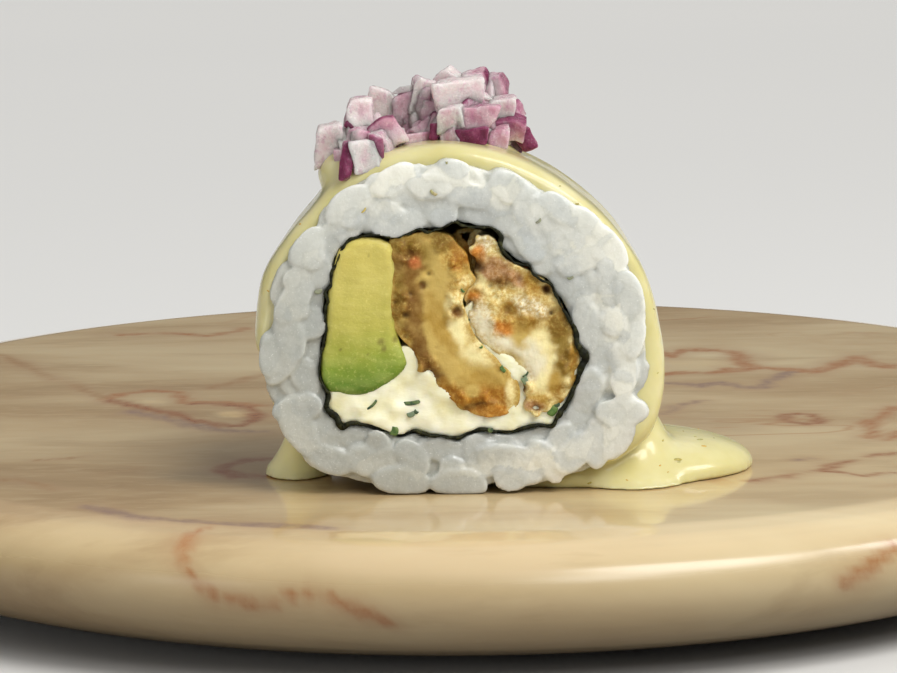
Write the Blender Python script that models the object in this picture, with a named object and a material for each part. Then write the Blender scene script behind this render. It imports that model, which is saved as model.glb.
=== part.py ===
"""Uramaki roll on its round stone board.

A slice of roll stands on its rim near the front edge of a turned marble board.
Its shown cut face looks towards -Y.  Rice wraps a sheet of nori, and inside the
nori lie a strip of avocado, two strips of crisp fried fillet and cream cheese.
Pale sauce is poured over the top and runs down into a puddle on the right and a
small foot on the left.  A heap of diced red onion lies on top.

The origin is the middle of the board's flat base, and +Z is up.  Sizes are in
millimetres and become metres where a mesh is made.
"""
import math
import random

import bmesh
import bpy
from mathutils import Euler, Vector

MM = 0.001
GAP = 0.3                # left open between pieces that touch
STEP = 6                 # degrees between the points of a round outline

# Board: a turned disc with a soft rim
BOARD_R = 100.0
BOARD_H = 18.0
BOARD_FLAT_R = 91.7      # where the flat top starts to round off
BOARD_SIDES = 64
# Rim as (radius, height as a share of the board's height), from the top down
BOARD_RIM = (
    (BOARD_FLAT_R, 1.00), (97.0, 0.92), (99.6, 0.78), (BOARD_R, 0.62),
    (97.2, 0.36), (92.0, 0.21), (85.0, 0.09), (78.0, 0.02), (74.0, 0.00),
)

# Roll: a slice standing on the board, its axis along Y
ROLL_X = -1.8            # axis, sideways
ROLL_UP = 20.5           # axis above the board's top
ROLL_Z = BOARD_H + ROLL_UP
FACE_Y = -70.3           # shown cut face
ROLL_L = 25.0
BACK_Y = FACE_Y + ROLL_L

# Rice: outer radius about the roll's axis, every 30 degrees from +X upwards
RICE_RADII = (24.0, 22.5, 20.5, 21.0, 21.6, 22.3, 23.8, 24.8, 22.9, 20.6, 22.3, 25.7)
CORE_INSET = 0.3         # the packed core lies this far inside the grains' reach
CORE_SUNK = 1.7          # and this far behind the cut faces
GRAIN = (3.1, 1.70, 1.6)     # half length, half width and half height of a grain
GRAIN_SIDES = 5
GRAIN_SHOULDER = 0.55        # where a grain starts to taper, as a share of its half length
GRAIN_PITCH = 5.3            # between grains along a row
GRAIN_STRETCH = (0.92, 1.1)  # spread of that distance
GRAIN_DEPTH = (1.2, 1.6)     # of a grain's middle behind the cut face
GRAIN_STRAY = 0.25           # a grain strays this far from the middle of its row
# Rows on a cut face: place between nori and rim, and lean in degrees either way
GRAIN_ROWS = ((0.18, 22), (0.50, 60), (0.82, 22))
GRAIN_PROUD = 0.8            # kept free before and behind the cut faces for the grains
GRAIN_OVER = 0.4             # a grain's corners may reach this far over the rice's radius
GRAIN_UNDER_SAUCE = 0.05     # and under sauce stay this far inside the packed core
GRAIN_SIZES = (1.0, 0.88, 0.76)
GRAIN_SHIFTS = (0.0, -0.4, 0.4, -0.8, 0.8)
GRAIN_TRIES = [(size, shift) for size in GRAIN_SIZES for shift in GRAIN_SHIFTS]
# Rows of grains on the bare lower flanks, between pairs of angles
FLANKS = ((196, 232), (300, 328))
FLANK_ROWS = 5
FLANK_MARGIN = 3.8           # of the outermost rows from the cut faces
FLANK_OFFSET = 3.5           # degrees that every other row is moved on
FLANK_INSET = 0.55           # of a grain's middle from the packed core's surface
FLANK_SPREAD = 1.2           # distance between grains, in row distances
FLANK_STRAY = 0.4
FLANK_LEAN = (0.5, 0.3)      # turn about the row and about the radius, either way

# Nori: outer outline of the sheet, seen from the front, about the roll's axis
NORI_OUTLINE = (
    (15.4, -1.2), (12.6, 4.6), (9.4, 7.7), (6.2, 11.0), (3.6, 12.9), (-4.0, 12.3),
    (-11.4, 11.7), (-13.9, 10.8), (-15.9, 2.8), (-16.9, -3.0), (-16.3, -8.3),
    (-14.4, -12.3), (-10.2, -12.5), (-0.6, -13.9), (8.9, -12.7), (12.4, -12.4),
    (14.6, -9.4), (16.0, -4.4),
)
NORI_THICK = 0.55
NORI_SUNK = 0.5          # its edge lies this far behind the cut face
NORI_WAVES = ((11, 0.22), (23, 0.13))    # crinkles: waves round the sheet, height
NORI_CLEAR = 0.1         # held free inside it on top of the gap

# Fillings: outlines seen from the front, about the roll's axis
AVOCADO_OUTLINE = (
    (-13.4, 10.3), (-9.3, 11.0), (-7.6, 9.6), (-7.4, 5.0), (-7.9, 1.4), (-6.5, -1.3),
    (-5.9, -4.0), (-8.7, -6.9), (-12.3, -8.3), (-15.6, -7.2), (-16.4, -3.0), (-14.9, 6.0),
)
LEFT_OUTLINE = (
    (-6.8, 10.6), (-4.0, 12.0), (-0.4, 11.4), (1.2, 9.6), (2.5, 6.8), (0.6, 4.2),
    (1.9, -0.4), (4.9, -3.4), (7.4, -6.6), (7.6, -9.2), (5.4, -11.0), (1.6, -10.2),
    (-2.0, -6.8), (-5.2, -2.4), (-6.8, 1.0), (-6.8, 5.6),
)
RIGHT_OUTLINE = (
    (2.2, 11.6), (5.6, 10.0), (9.4, 6.2), (12.2, 3.4), (14.0, 0.0), (15.0, -3.8),
    (14.4, -7.4), (12.4, -9.8), (10.9, -9.2), (10.9, -6.2), (9.6, -3.2), (5.4, -2.4),
    (2.6, -0.8), (1.6, 2.2), (1.6, 5.0), (1.0, 9.0),
)
# The two fillets part at the top of both ends, which leaves a dark wedge
PARTING_OUTLINE = (
    (-0.6, 13.0), (3.0, 13.0), (3.4, 9.6), (3.0, 7.6), (2.4, 3.6), (1.4, 3.8), (1.8, 7.2),
)
PARTING_DEEP = 5.0
CHEESE_OUTLINE = (
    (-17.0, -6.6), (-11.0, -5.0), (-6.0, -2.0), (-1.0, -4.0), (4.0, -6.0), (5.4, -3.0),
    (8.5, -2.6), (10.6, -5.0), (12.0, -8.0), (16.0, -9.0), (15.0, -14.0), (0.0, -15.5),
    (-15.0, -14.5),
)
FILLING_SUNK = 0.6       # the fillings' ends lie this far behind the cut faces
CRUMBS = 10              # crisp crumbs that stand out on each end of a fillet
CRUMB_R = 1.5
CRUMB_SIZES = (0.6, 1.0)     # spread of a crumb's radius
CRUMB_ROUGH = (0.72, 1.18)   # spread of its corners' distance from its middle
CRUMB_INSET = 1.4            # of its middle from the fillet's outline, in radii
CRUMB_SUNK = 0.35            # and of its middle behind the fillet's end
CUTTER_BEYOND = 4            # cutters run on this far past the ends that they cut

# Sauce: outer radius about the roll's axis, every 30 degrees from +X upwards
SAUCE_RADII = (24.9, 22.9, 21.7, 22.4, 22.8, 22.8, 24.4, 26.4, 19.0, 15.0, 19.0, 27.5)
SAUCE_SUNK = 1.8         # its lip lies this far behind the cut faces
SAUCE_LIP = ((0.0, 0.32), (0.7, 0.75), (2.8, 1.0))   # inward, share of thickness
SAUCE_ROWS = 4
SAUCE_THIN = 0.35        # share of its thickness lost towards the back
SAUCE_THIN_FROM = 8      # depth at which that starts, and where it ends before the back
SAUCE_THIN_END = 3
# Puddle on the right and foot on the left: centre, half length, half width, height
PUDDLE = {"x": 14.0, "y": -53.0, "rx": 22.5, "ry": 14.5, "h": 5.8}
FOOT = {"x": -21.5, "y": -55.0, "rx": 4.9, "ry": 6.2, "h": 9.0}
DROP_STEP = 12           # degrees between the points round puddle and foot
DROP_SHARES = (1.0, 0.97, 0.88, 0.68, 0.42, 0.15)    # its outlines from the rim inwards
DROP_CLEAR = 0.8         # grains keep this far off puddle and foot
STREAM_W = 5.5           # half width of the stream that feeds the foot
BARE_DROP = 4.5          # how far the sauce sinks away beside that stream
RIGHT_END_Y = -48.0      # behind this the right flank is bare low down
RIGHT_END_SLOPE = (3, 2)     # depths before and behind it in which the sauce runs out
LEFT_BARE = (183, 203, 240, 260)     # angles: starts, is full, stays full to, ends
RIGHT_BARE = (-75, -60, -22, -4)
SKIRT = (234, 302)       # angles between which the cutter keeps sauce from under the roll

# Red onion: two mounds of dice, each a centre, half sizes and a number of dice
MOUNDS = (
    {"x": -10.3, "y": FACE_Y + 7.2, "z": 20.2, "rx": 4.1, "ry": 5.0, "rz": 4.8, "dice": 15},
    {"x": 1.0, "y": FACE_Y + 14.5, "z": 21.4, "rx": 6.9, "ry": 5.6, "rz": 7.1, "dice": 33},
)
DIE_SMALL = 2.5
DIE_LARGE = 4.4
DIE_FLAT = 0.72          # thickness of a dice as a share of a like width
DIE_SKEW = (0.82, 1.1)   # spread of its corners' distance from its middle
MOUND_COVER = 1.05       # dice reach this far down a mound, in its half heights

COLOURS = {
    "board": ((0.60, 0.46, 0.31), 0.25),
    "rice": ((0.80, 0.83, 0.82), 0.45),
    "nori": ((0.020, 0.026, 0.018), 0.45),
    "avocado": ((0.66, 0.62, 0.16), 0.45),
    "fillet_left": ((0.46, 0.27, 0.08), 0.75),
    "fillet_right": ((0.55, 0.38, 0.18), 0.75),
    "cream_cheese": ((0.84, 0.78, 0.54), 0.50),
    "sauce": ((0.86, 0.76, 0.34), 0.22),
    "red_onion": ((0.68, 0.40, 0.56), 0.35),
}


# Outlines


def round_value(values, angle):
    """Smooth value at an angle in degrees, from values spread evenly over a turn."""
    count = len(values)
    place = (angle % 360) / 360 * count
    first = int(place)
    t = place - first
    a, b, c, d = (values[(first + k) % count] for k in (-1, 0, 1, 2))
    return b + 0.5 * t * (c - a + t * (2 * a - 5 * b + 4 * c - d + t * (3 * (b - c) + d - a)))


def smooth_loop(points, steps=3):
    """Closed curve through the points, with so many steps from one to the next."""
    count = len(points)
    turn = [360 * i / (count * steps) for i in range(count * steps)]
    return [tuple(round_value([p[k] for p in points], angle) for k in (0, 1)) for angle in turn]


def ray_radius(loop, angle):
    """Distance from the axis to the outline along one direction."""
    way = Vector((math.cos(math.radians(angle)), math.sin(math.radians(angle))))
    best = 0.0
    for start, end in zip(loop, loop[1:] + loop[:1]):
        a = Vector(start)
        edge = Vector(end) - a
        across = way.x * edge.y - way.y * edge.x
        if abs(across) < 1e-9:
            continue
        along = (a.x * edge.y - a.y * edge.x) / across
        share = (a.x * way.y - a.y * way.x) / across
        if along > 0 and -1e-9 <= share <= 1 + 1e-9:
            best = max(best, along)
    return best


def grown(loop, distance):
    """Outline moved outwards by a distance, square to itself."""
    area = sum(a[0] * b[1] - b[0] * a[1] for a, b in zip(loop, loop[1:] + loop[:1]))
    side = 1 if area > 0 else -1
    moved = []
    for before, here, after in zip(loop[-1:] + loop[:-1], loop, loop[1:] + loop[:1]):
        way = (Vector(after) - Vector(before)).normalized()
        moved.append((here[0] + side * way.y * distance, here[1] - side * way.x * distance))
    return moved


def smooth_step(low, high, value):
    """0 below low, 1 above high and a soft slope between them."""
    t = min(1.0, max(0.0, (value - low) / (high - low)))
    return t * t * (3 - 2 * t)


ANGLES = range(0, 360, STEP)
NORI_CURVE = smooth_loop(NORI_OUTLINE)
NORI_SAMPLES = [ray_radius(NORI_CURVE, angle) for angle in ANGLES]


def nori_radius(angle):
    """Outer radius of the nori with its crinkles."""
    waves = sum(height * math.sin(math.radians(count * angle)) for count, height in NORI_WAVES)
    return round_value(NORI_SAMPLES, angle) + waves


def above_board(radius, angle, clear):
    """Radius cut short where it would come nearer to the board than clear."""
    down = -math.sin(math.radians(angle))
    return min(radius, (ROLL_UP - clear) / down) if down > 0.1 else radius


def rice_radius(angle):
    """Reach of the grains, flat where the roll stands on the board."""
    return above_board(round_value(RICE_RADII, angle), angle, GAP)


def core_radius(angle):
    """Radius of the packed rice under the grains."""
    return above_board(round_value(RICE_RADII, angle) - CORE_INSET, angle, GAP)


def bare_share(angles, angle):
    """How bare of sauce a flank is at an angle, between 0 and 1."""
    starts, full, last, ends = angles
    return smooth_step(starts, full, angle) * (1 - smooth_step(last, ends, angle))


def sauce_radius(angle, y):
    """Outer radius of the sauce, below the core where there is none."""
    core = core_radius(angle)
    full = round_value(SAUCE_RADII, angle) - core
    inward = min(y - (FACE_Y + SAUCE_SUNK), (BACK_Y - SAUCE_SUNK) - y)
    lip = SAUCE_LIP[-1][1]
    for (near, low), (far, high) in zip(SAUCE_LIP, SAUCE_LIP[1:]):
        if near <= inward < far:
            lip = low + (high - low) * (inward - near) / (far - near)
            break
    stream = math.exp(-((y - FOOT["y"]) / STREAM_W) ** 2)
    left_bare = bare_share(LEFT_BARE, angle) * (1 - stream)
    before, behind = RIGHT_END_SLOPE
    right_bare = bare_share(RIGHT_BARE, (angle + 180) % 360 - 180)
    right_bare *= smooth_step(RIGHT_END_Y - before, RIGHT_END_Y + behind, y)
    lip *= 1 - SAUCE_THIN * smooth_step(SAUCE_THIN_FROM, ROLL_L - SAUCE_THIN_END, y - FACE_Y)
    return core + full * (lip if full > 0 else 1) - BARE_DROP * (left_bare + right_bare)


def in_drop(x, y, z):
    """True inside the puddle or the foot, or close to them."""
    for size, cone in ((PUDDLE, False), (FOOT, True)):
        wide, deep = size["rx"] + DROP_CLEAR, size["ry"] + DROP_CLEAR
        share = math.hypot((x - size["x"]) / wide, (y - size["y"]) / deep)
        if share < 1 and z < BOARD_H + DROP_CLEAR + size["h"] * drop_height(share, cone):
            return True
    return False


def drop_height(share, cone):
    """Height of a drop of sauce as a share of its middle's: a cone or a flat, round-edged pool."""
    return 1 - share if cone else math.sqrt(1 - share ** 4)


def on_roll(angle, radius, y):
    """Point at an angle and radius about the roll's axis."""
    turn = math.radians(angle)
    return (ROLL_X + radius * math.cos(turn), y, ROLL_Z + radius * math.sin(turn))


# Solids


def solid(name, points, faces):
    """Closed mesh from points in millimetres, its faces turned outwards."""
    mesh = bpy.data.meshes.new(name)
    mesh.from_pydata([Vector(point) * MM for point in points], [], faces)
    shape = bmesh.new()
    shape.from_mesh(mesh)
    bmesh.ops.triangulate(shape, faces=shape.faces)
    bmesh.ops.recalc_face_normals(shape, faces=shape.faces)
    shape.to_mesh(mesh)
    shape.free()
    piece = bpy.data.objects.new(name, mesh)
    bpy.context.scene.collection.objects.link(piece)
    return piece


def lofted(name, loops):
    """Solid through closed loops of equal length, with flat ends."""
    count = len(loops[0])
    faces = [tuple(range(count))[::-1], tuple(range((len(loops) - 1) * count, len(loops) * count))]
    for row in range(len(loops) - 1):
        for i in range(count):
            j = (i + 1) % count
            low, high = row * count, (row + 1) * count
            faces.append((low + i, low + j, high + j, high + i))
    return solid(name, [point for loop in loops for point in loop], faces)


def prism(name, loop, front, back):
    """Outline about the roll's axis, run straight from front to back."""
    return lofted(name, [[(ROLL_X + x, y, ROLL_Z + z) for x, z in loop] for y in (front, back)])


def ring(name, outer, inner, front, back):
    """Round wall between two radius functions, run from front to back."""
    count = len(ANGLES)
    points = []
    for radius, y in ((outer, front), (outer, back), (inner, back), (inner, front)):
        points += [on_roll(angle, radius(angle), y) for angle in ANGLES]
    faces = []
    for row in range(4):
        for i in range(count):
            j = (i + 1) % count
            low, high = row * count, (row + 1) % 4 * count
            faces.append((low + i, low + j, high + j, high + i))
    return solid(name, points, faces)


def bake(piece):
    """Turn the piece's modifiers into its mesh."""
    depsgraph = bpy.context.evaluated_depsgraph_get()
    mesh = bpy.data.meshes.new_from_object(piece.evaluated_get(depsgraph))
    piece.modifiers.clear()
    piece.data = mesh


def keep_outer_skin(piece):
    """Drop loose scraps and the walls of sealed hollows, which leaves one body."""
    shape = bmesh.new()
    shape.from_mesh(piece.data)
    shape.faces.ensure_lookup_table()
    left = set(shape.faces)
    best, best_volume = None, 0.0
    while left:
        island = {left.pop()}
        edge_of_island = list(island)
        while edge_of_island:
            face = edge_of_island.pop()
            for edge in face.edges:
                for other in edge.link_faces:
                    if other in left:
                        left.remove(other)
                        island.add(other)
                        edge_of_island.append(other)
        volume = 0.0
        for face in island:
            a = face.verts[0].co
            for b, c in zip(face.verts[1:], face.verts[2:]):
                volume += a.dot(b.co.cross(c.co))
        if volume > best_volume:
            best, best_volume = island, volume
    bmesh.ops.delete(shape, geom=[face for face in shape.faces if face not in best], context="FACES")
    shape.to_mesh(piece.data)
    shape.free()


def boolean(piece, operation, extras):
    """Join the extras to the piece or cut them out of it, in one step."""
    group = bpy.data.collections.new("operands")
    bpy.context.scene.collection.children.link(group)
    for extra in extras:
        bpy.context.scene.collection.objects.unlink(extra)
        group.objects.link(extra)
    modifier = piece.modifiers.new("boolean", "BOOLEAN")
    modifier.operation = operation
    modifier.operand_type = "COLLECTION"
    modifier.collection = group
    modifier.solver = "EXACT"
    bake(piece)
    for extra in extras:
        bpy.data.objects.remove(extra)
    bpy.data.collections.remove(group)
    keep_outer_skin(piece)


def grain_points(centre, scale, turn):
    """Corners of a short rice grain: a long block with blunt, pointed ends."""
    length, width, height = (scale * half for half in GRAIN)
    points = [Vector((-length, 0, 0))]
    for along in (-GRAIN_SHOULDER, GRAIN_SHOULDER):
        for i in range(GRAIN_SIDES):
            spin = 2 * math.pi * i / GRAIN_SIDES
            points.append(Vector((along * length, width * math.cos(spin), height * math.sin(spin))))
    points.append(Vector((length, 0, 0)))
    for point in points:
        point.rotate(turn)
        point += Vector(centre)
    return points


def grain_faces():
    """Faces between the corners that grain_points gives."""
    sides = GRAIN_SIDES
    faces = []
    for i in range(sides):
        j = (i + 1) % sides
        faces.append((0, 1 + j, 1 + i))
        faces.append((1 + i, 1 + j, 1 + sides + j, 1 + sides + i))
        faces.append((1 + sides + i, 1 + sides + j, 1 + 2 * sides))
    return faces


def ball(subdivisions):
    """Points and faces of a ball of radius 1."""
    shape = bmesh.new()
    bmesh.ops.create_icosphere(shape, subdivisions=subdivisions, radius=1.0)
    points = [vert.co.copy() for vert in shape.verts]
    faces = [tuple(vert.index for vert in face.verts) for face in shape.faces]
    shape.free()
    return points, faces


def die(name, centre, draw):
    """One dice of onion: a skewed block, seldom a true cube."""
    half = [draw.uniform(DIE_SMALL, DIE_LARGE) / 2 for _ in range(3)]
    half[2] *= DIE_FLAT
    turn = Euler([draw.uniform(0, 2 * math.pi) for _ in range(3)])
    points = []
    for x in (-1, 1):
        for y in (-1, 1):
            for z in (-1, 1):
                point = Vector([s * h * draw.uniform(*DIE_SKEW) for s, h in zip((x, y, z), half)])
                point.rotate(turn)
                points.append(point + Vector(centre))
    faces = [(0, 1, 3, 2), (4, 6, 7, 5), (0, 4, 5, 1), (2, 3, 7, 6), (0, 2, 6, 4), (1, 5, 7, 3)]
    return solid(name, points, faces)


# Rice grains


def grain_fits(points, face_grain):
    """True where a grain crosses neither nori, board nor sauce."""
    for x, y, z in points:
        dx, dz = x - ROLL_X, z - ROLL_Z
        angle = math.degrees(math.atan2(dz, dx))
        radius = math.hypot(dx, dz)
        if dz < GAP - ROLL_UP or radius < nori_radius(angle) + 2 * GAP:
            return False
        depth = min(y - FACE_Y, BACK_Y - y)
        under_sauce = depth > SAUCE_SUNK - GAP and sauce_radius(angle, y) > core_radius(angle)
        under_sauce = under_sauce or in_drop(x, y, z)
        if under_sauce and radius > core_radius(angle) - GRAIN_UNDER_SAUCE:
            return False
        if face_grain and radius > rice_radius(angle) + GRAIN_OVER:
            return False
    return True


def try_grain(angle, radius, y, turn, face_grain):
    """Grain at a place, moved or smaller where room is short, or none."""
    for scale, shift in GRAIN_TRIES:
        points = grain_points(on_roll(angle, radius + shift, y), scale, turn)
        if grain_fits(points, face_grain):
            return [solid("grain", points, grain_faces())]
    return []


def face_grains(y, outward, draw):
    """Rows of grains that show on a cut face, between nori and rim."""
    found = []
    for share, lean in GRAIN_ROWS:
        angle = draw.uniform(0, 10)
        while angle < 360:
            inner = nori_radius(angle) + GAP
            radius = inner + share * (core_radius(angle) - inner)
            radius += draw.uniform(-GRAIN_STRAY, GRAIN_STRAY)
            turn = Euler((0, math.radians(-angle - 90 + draw.uniform(-lean, lean)), 0))
            found += try_grain(angle, radius, y - outward * draw.uniform(*GRAIN_DEPTH), turn, True)
            angle += math.degrees(GRAIN_PITCH / radius) * draw.uniform(*GRAIN_STRETCH)
    return found


def flank_grains(low, high, draw):
    """Rows of grains on the bare lower flanks, between two angles."""
    found = []
    roll, yaw = FLANK_LEAN
    for row in range(FLANK_ROWS):
        y = FACE_Y + FLANK_MARGIN + (ROLL_L - 2 * FLANK_MARGIN) * row / (FLANK_ROWS - 1)
        angle = low + (FLANK_OFFSET if row % 2 else 0)
        while angle < high:
            radius = core_radius(angle) - FLANK_INSET
            turn = Euler((draw.uniform(-roll, roll), math.radians(-angle - 90), draw.uniform(-yaw, yaw)))
            stray = draw.uniform(-FLANK_STRAY, FLANK_STRAY)
            found += try_grain(angle, radius, y + stray, turn, False)
            angle += math.degrees(FLANK_SPREAD * GRAIN_PITCH / radius)
    return found


# Sub-parts


def make_board():
    """Turned stone board with a flat top and base."""
    loops = []
    for radius, share in reversed(BOARD_RIM):
        turn = [2 * math.pi * i / BOARD_SIDES for i in range(BOARD_SIDES)]
        loops.append([(radius * math.cos(t), radius * math.sin(t), share * BOARD_H) for t in turn])
    return lofted("board", loops)


def make_rice():
    """Ring of packed rice with the grains that show fused on."""
    draw = random.Random(11)
    core = ring("rice", core_radius, lambda a: nori_radius(a) + GAP,
                FACE_Y + CORE_SUNK, BACK_Y - CORE_SUNK)
    grains = face_grains(FACE_Y, -1, draw) + face_grains(BACK_Y, 1, draw)
    for low, high in FLANKS:
        grains += flank_grains(low, high, draw)
    boolean(core, "UNION", grains)
    return core


def make_nori():
    """Crinkled sheet of nori round the fillings."""
    return ring("nori", nori_radius, lambda a: nori_radius(a) - NORI_THICK,
                FACE_Y + NORI_SUNK, BACK_Y - NORI_SUNK)


def nori_room(x, z):
    """Radius within which a filling stays clear of the nori, seen along one direction."""
    return nori_radius(math.degrees(math.atan2(z, x))) - NORI_THICK - GAP - NORI_CLEAR


def inside_nori(loop):
    """Outline held clear of the inside of the nori."""
    held = []
    for x, z in loop:
        share = min(1.0, nori_room(x, z) / math.hypot(x, z))
        held.append((x * share, z * share))
    return held


def clear_of_nori(point):
    """True where a point of a filling keeps off the nori."""
    x, z = point[0] - ROLL_X, point[2] - ROLL_Z
    return math.hypot(x, z) < nori_room(x, z)


def filling(name, outline, grow=0.0, beyond=0.0):
    """Strip of filling that runs through the roll, or its cutter where it is grown."""
    loop = inside_nori(smooth_loop(outline)) if not grow else grown(smooth_loop(outline), grow)
    return prism(name, loop, FACE_Y + FILLING_SUNK - beyond, BACK_Y - FILLING_SUNK + beyond)


def end_crumbs(outline, draw):
    """Crumbs that stand out of both ends of a fillet, clear of its outline."""
    loop = inside_nori(smooth_loop(outline))
    ball_points, ball_faces = ball(1)
    found = []
    sunk = FILLING_SUNK + CRUMB_SUNK
    for y in (FACE_Y + sunk, BACK_Y - sunk):
        for i in range(CRUMBS):
            radius = CRUMB_R * draw.uniform(*CRUMB_SIZES)
            place = int((i + draw.random()) * len(loop) / CRUMBS) % len(loop)
            x, z = grown(loop, -CRUMB_INSET * radius)[place]
            centre = Vector((ROLL_X + x, y, ROLL_Z + z))
            points = [centre + point * radius * draw.uniform(*CRUMB_ROUGH) for point in ball_points]
            if all(clear_of_nori(point) for point in points):
                found.append(solid("crumb", points, ball_faces))
    return found


def make_fillet(name, outline, seed, neighbour=None):
    """Fried fillet with craggy ends, cut clear of its neighbour."""
    draw = random.Random(seed)
    piece = filling(name, outline)
    boolean(piece, "UNION", end_crumbs(outline, draw))
    if neighbour:
        wedge = smooth_loop(PARTING_OUTLINE)
        cutters = [filling("cutter", neighbour, GAP, CUTTER_BEYOND)]
        cutters.append(prism("cutter", wedge, FACE_Y - CUTTER_BEYOND, FACE_Y + PARTING_DEEP))
        cutters.append(prism("cutter", wedge, BACK_Y - PARTING_DEEP, BACK_Y + CUTTER_BEYOND))
        boolean(piece, "DIFFERENCE", cutters)
    return piece


def make_cheese():
    """Cream cheese that fills what the avocado and the fillets leave."""
    piece = filling("cream_cheese", CHEESE_OUTLINE)
    outlines = (AVOCADO_OUTLINE, LEFT_OUTLINE, RIGHT_OUTLINE)
    cutters = [filling("cutter", outline, GAP, CUTTER_BEYOND) for outline in outlines]
    boolean(piece, "DIFFERENCE", cutters)
    return piece


def drop(name, size, cone):
    """Drop of sauce on the board: a flat pool with a round edge, or a cone."""
    loops = []
    for share in DROP_SHARES:
        z = BOARD_H + GAP + drop_height(share, cone) * (size["h"] - GAP)
        turn = [math.radians(angle) for angle in range(0, 360, DROP_STEP)]
        loops.append([(size["x"] + share * size["rx"] * math.cos(t),
                       size["y"] + share * size["ry"] * math.sin(t), z) for t in turn])
    return lofted(name, loops)


def sauce_loaf(name, grow=0.0):
    """Full loaf bounded by the sauce's outer surface, still with the roll inside it."""
    first, last = FACE_Y + SAUCE_SUNK, BACK_Y - SAUCE_SUNK
    lips = [inward for inward, _ in SAUCE_LIP]
    reach = lips[-1]
    middle = [first + reach + (last - first - 2 * reach) * i / SAUCE_ROWS for i in range(1, SAUCE_ROWS)]
    rows = [first + inward for inward in lips] + middle + [last - inward for inward in reversed(lips)]
    loops = []
    for y in rows:
        at = y + grow * (-1 if y == rows[0] else 1 if y == rows[-1] else 0)
        loops.append([on_roll(angle, sauce_radius(angle, y) + grow, at) for angle in ANGLES])
    return lofted(name, loops)


def roll_cutter():
    """The roll grown by the gap, with a skirt that keeps sauce from under it."""
    def radius(angle):
        reach = core_radius(angle) + GAP
        if SKIRT[0] < angle < SKIRT[1]:
            reach = (ROLL_UP + 1) / -math.sin(math.radians(angle))
        return reach
    ends = (FACE_Y - GRAIN_PROUD, BACK_Y + GRAIN_PROUD)
    return lofted("cutter", [[on_roll(angle, radius(angle), y) for angle in ANGLES] for y in ends])


def make_sauce():
    """Poured sauce: a coat over the roll, the puddle and the foot in one."""
    piece = sauce_loaf("sauce")
    boolean(piece, "UNION", [drop("puddle", PUDDLE, False), drop("foot", FOOT, True)])
    boolean(piece, "DIFFERENCE", [roll_cutter()])
    return piece


def mound(size):
    """Bare heap under the dice."""
    points, faces = ball(2)
    placed = [(ROLL_X + size["x"] + point.x * size["rx"],
               size["y"] + point.y * size["ry"],
               ROLL_Z + size["z"] + point.z * size["rz"]) for point in points]
    return solid("mound", placed, faces)


def make_onion():
    """Diced red onion heaped on the sauce."""
    draw = random.Random(5)
    golden = math.pi * (3 - math.sqrt(5))
    mounds = [mound(size) for size in MOUNDS]
    dice = []
    for size in MOUNDS:
        for i in range(size["dice"]):
            up = 1 - MOUND_COVER * (i + 0.5) / size["dice"]
            out = math.sqrt(max(0.0, 1 - up * up))
            x = ROLL_X + size["x"] + size["rx"] * out * math.cos(i * golden)
            y = size["y"] + size["ry"] * out * math.sin(i * golden)
            z = ROLL_Z + size["z"] + size["rz"] * up
            dice.append(die("die", (x, y, z), draw))
    heap = mounds.pop()
    heap.name = "red_onion"
    boolean(heap, "UNION", mounds + dice)
    boolean(heap, "DIFFERENCE", [sauce_loaf("cutter", GAP), roll_cutter()])
    return heap


def finish(piece, smooth_angle):
    """Give a piece its material and smooth shading up to an angle."""
    colour, roughness = COLOURS[piece.name]
    material = bpy.data.materials.new(piece.name)
    material.use_nodes = True
    shader = material.node_tree.nodes["Principled BSDF"]
    shader.inputs["Base Color"].default_value = (*colour, 1)
    shader.inputs["Roughness"].default_value = roughness
    piece.data.materials.clear()
    piece.data.materials.append(material)
    piece.data.shade_smooth()
    piece.data.set_sharp_from_angle(angle=math.radians(smooth_angle))


for old in list(bpy.data.objects):
    bpy.data.objects.remove(old)

finish(make_board(), 60)
finish(make_rice(), 50)
finish(make_nori(), 60)
finish(filling("avocado", AVOCADO_OUTLINE), 50)
finish(make_fillet("fillet_left", LEFT_OUTLINE, 3), 30)
finish(make_fillet("fillet_right", RIGHT_OUTLINE, 4, LEFT_OUTLINE), 30)
finish(make_cheese(), 50)
finish(make_sauce(), 60)
finish(make_onion(), 20)
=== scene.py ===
"""Looks of the uramaki roll on its stone board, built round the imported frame.

Lengths are in millimetres and become metres where a mesh, a light or a texture
is made.  Places on the roll are given from its axis: x sideways, z upwards, and
depth behind the shown cut face.  Colours are named as display values, 0 to 255.
"""
import math

import bmesh
import bpy
import numpy as np
from mathutils import Matrix, Vector, bvhtree, kdtree


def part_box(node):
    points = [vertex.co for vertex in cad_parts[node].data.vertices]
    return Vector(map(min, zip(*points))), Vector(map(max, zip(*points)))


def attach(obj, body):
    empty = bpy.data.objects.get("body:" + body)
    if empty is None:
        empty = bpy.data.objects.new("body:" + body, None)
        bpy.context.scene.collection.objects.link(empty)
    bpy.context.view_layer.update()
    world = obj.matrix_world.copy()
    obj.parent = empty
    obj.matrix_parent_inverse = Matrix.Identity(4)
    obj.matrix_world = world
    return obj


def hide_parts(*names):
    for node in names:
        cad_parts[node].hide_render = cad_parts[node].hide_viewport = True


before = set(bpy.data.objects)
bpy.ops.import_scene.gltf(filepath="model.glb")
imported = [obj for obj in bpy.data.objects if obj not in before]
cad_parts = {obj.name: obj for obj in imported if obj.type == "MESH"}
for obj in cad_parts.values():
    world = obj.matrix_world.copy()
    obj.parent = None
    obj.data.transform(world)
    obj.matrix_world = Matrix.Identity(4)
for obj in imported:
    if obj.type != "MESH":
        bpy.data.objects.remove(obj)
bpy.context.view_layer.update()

MM = 0.001


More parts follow.
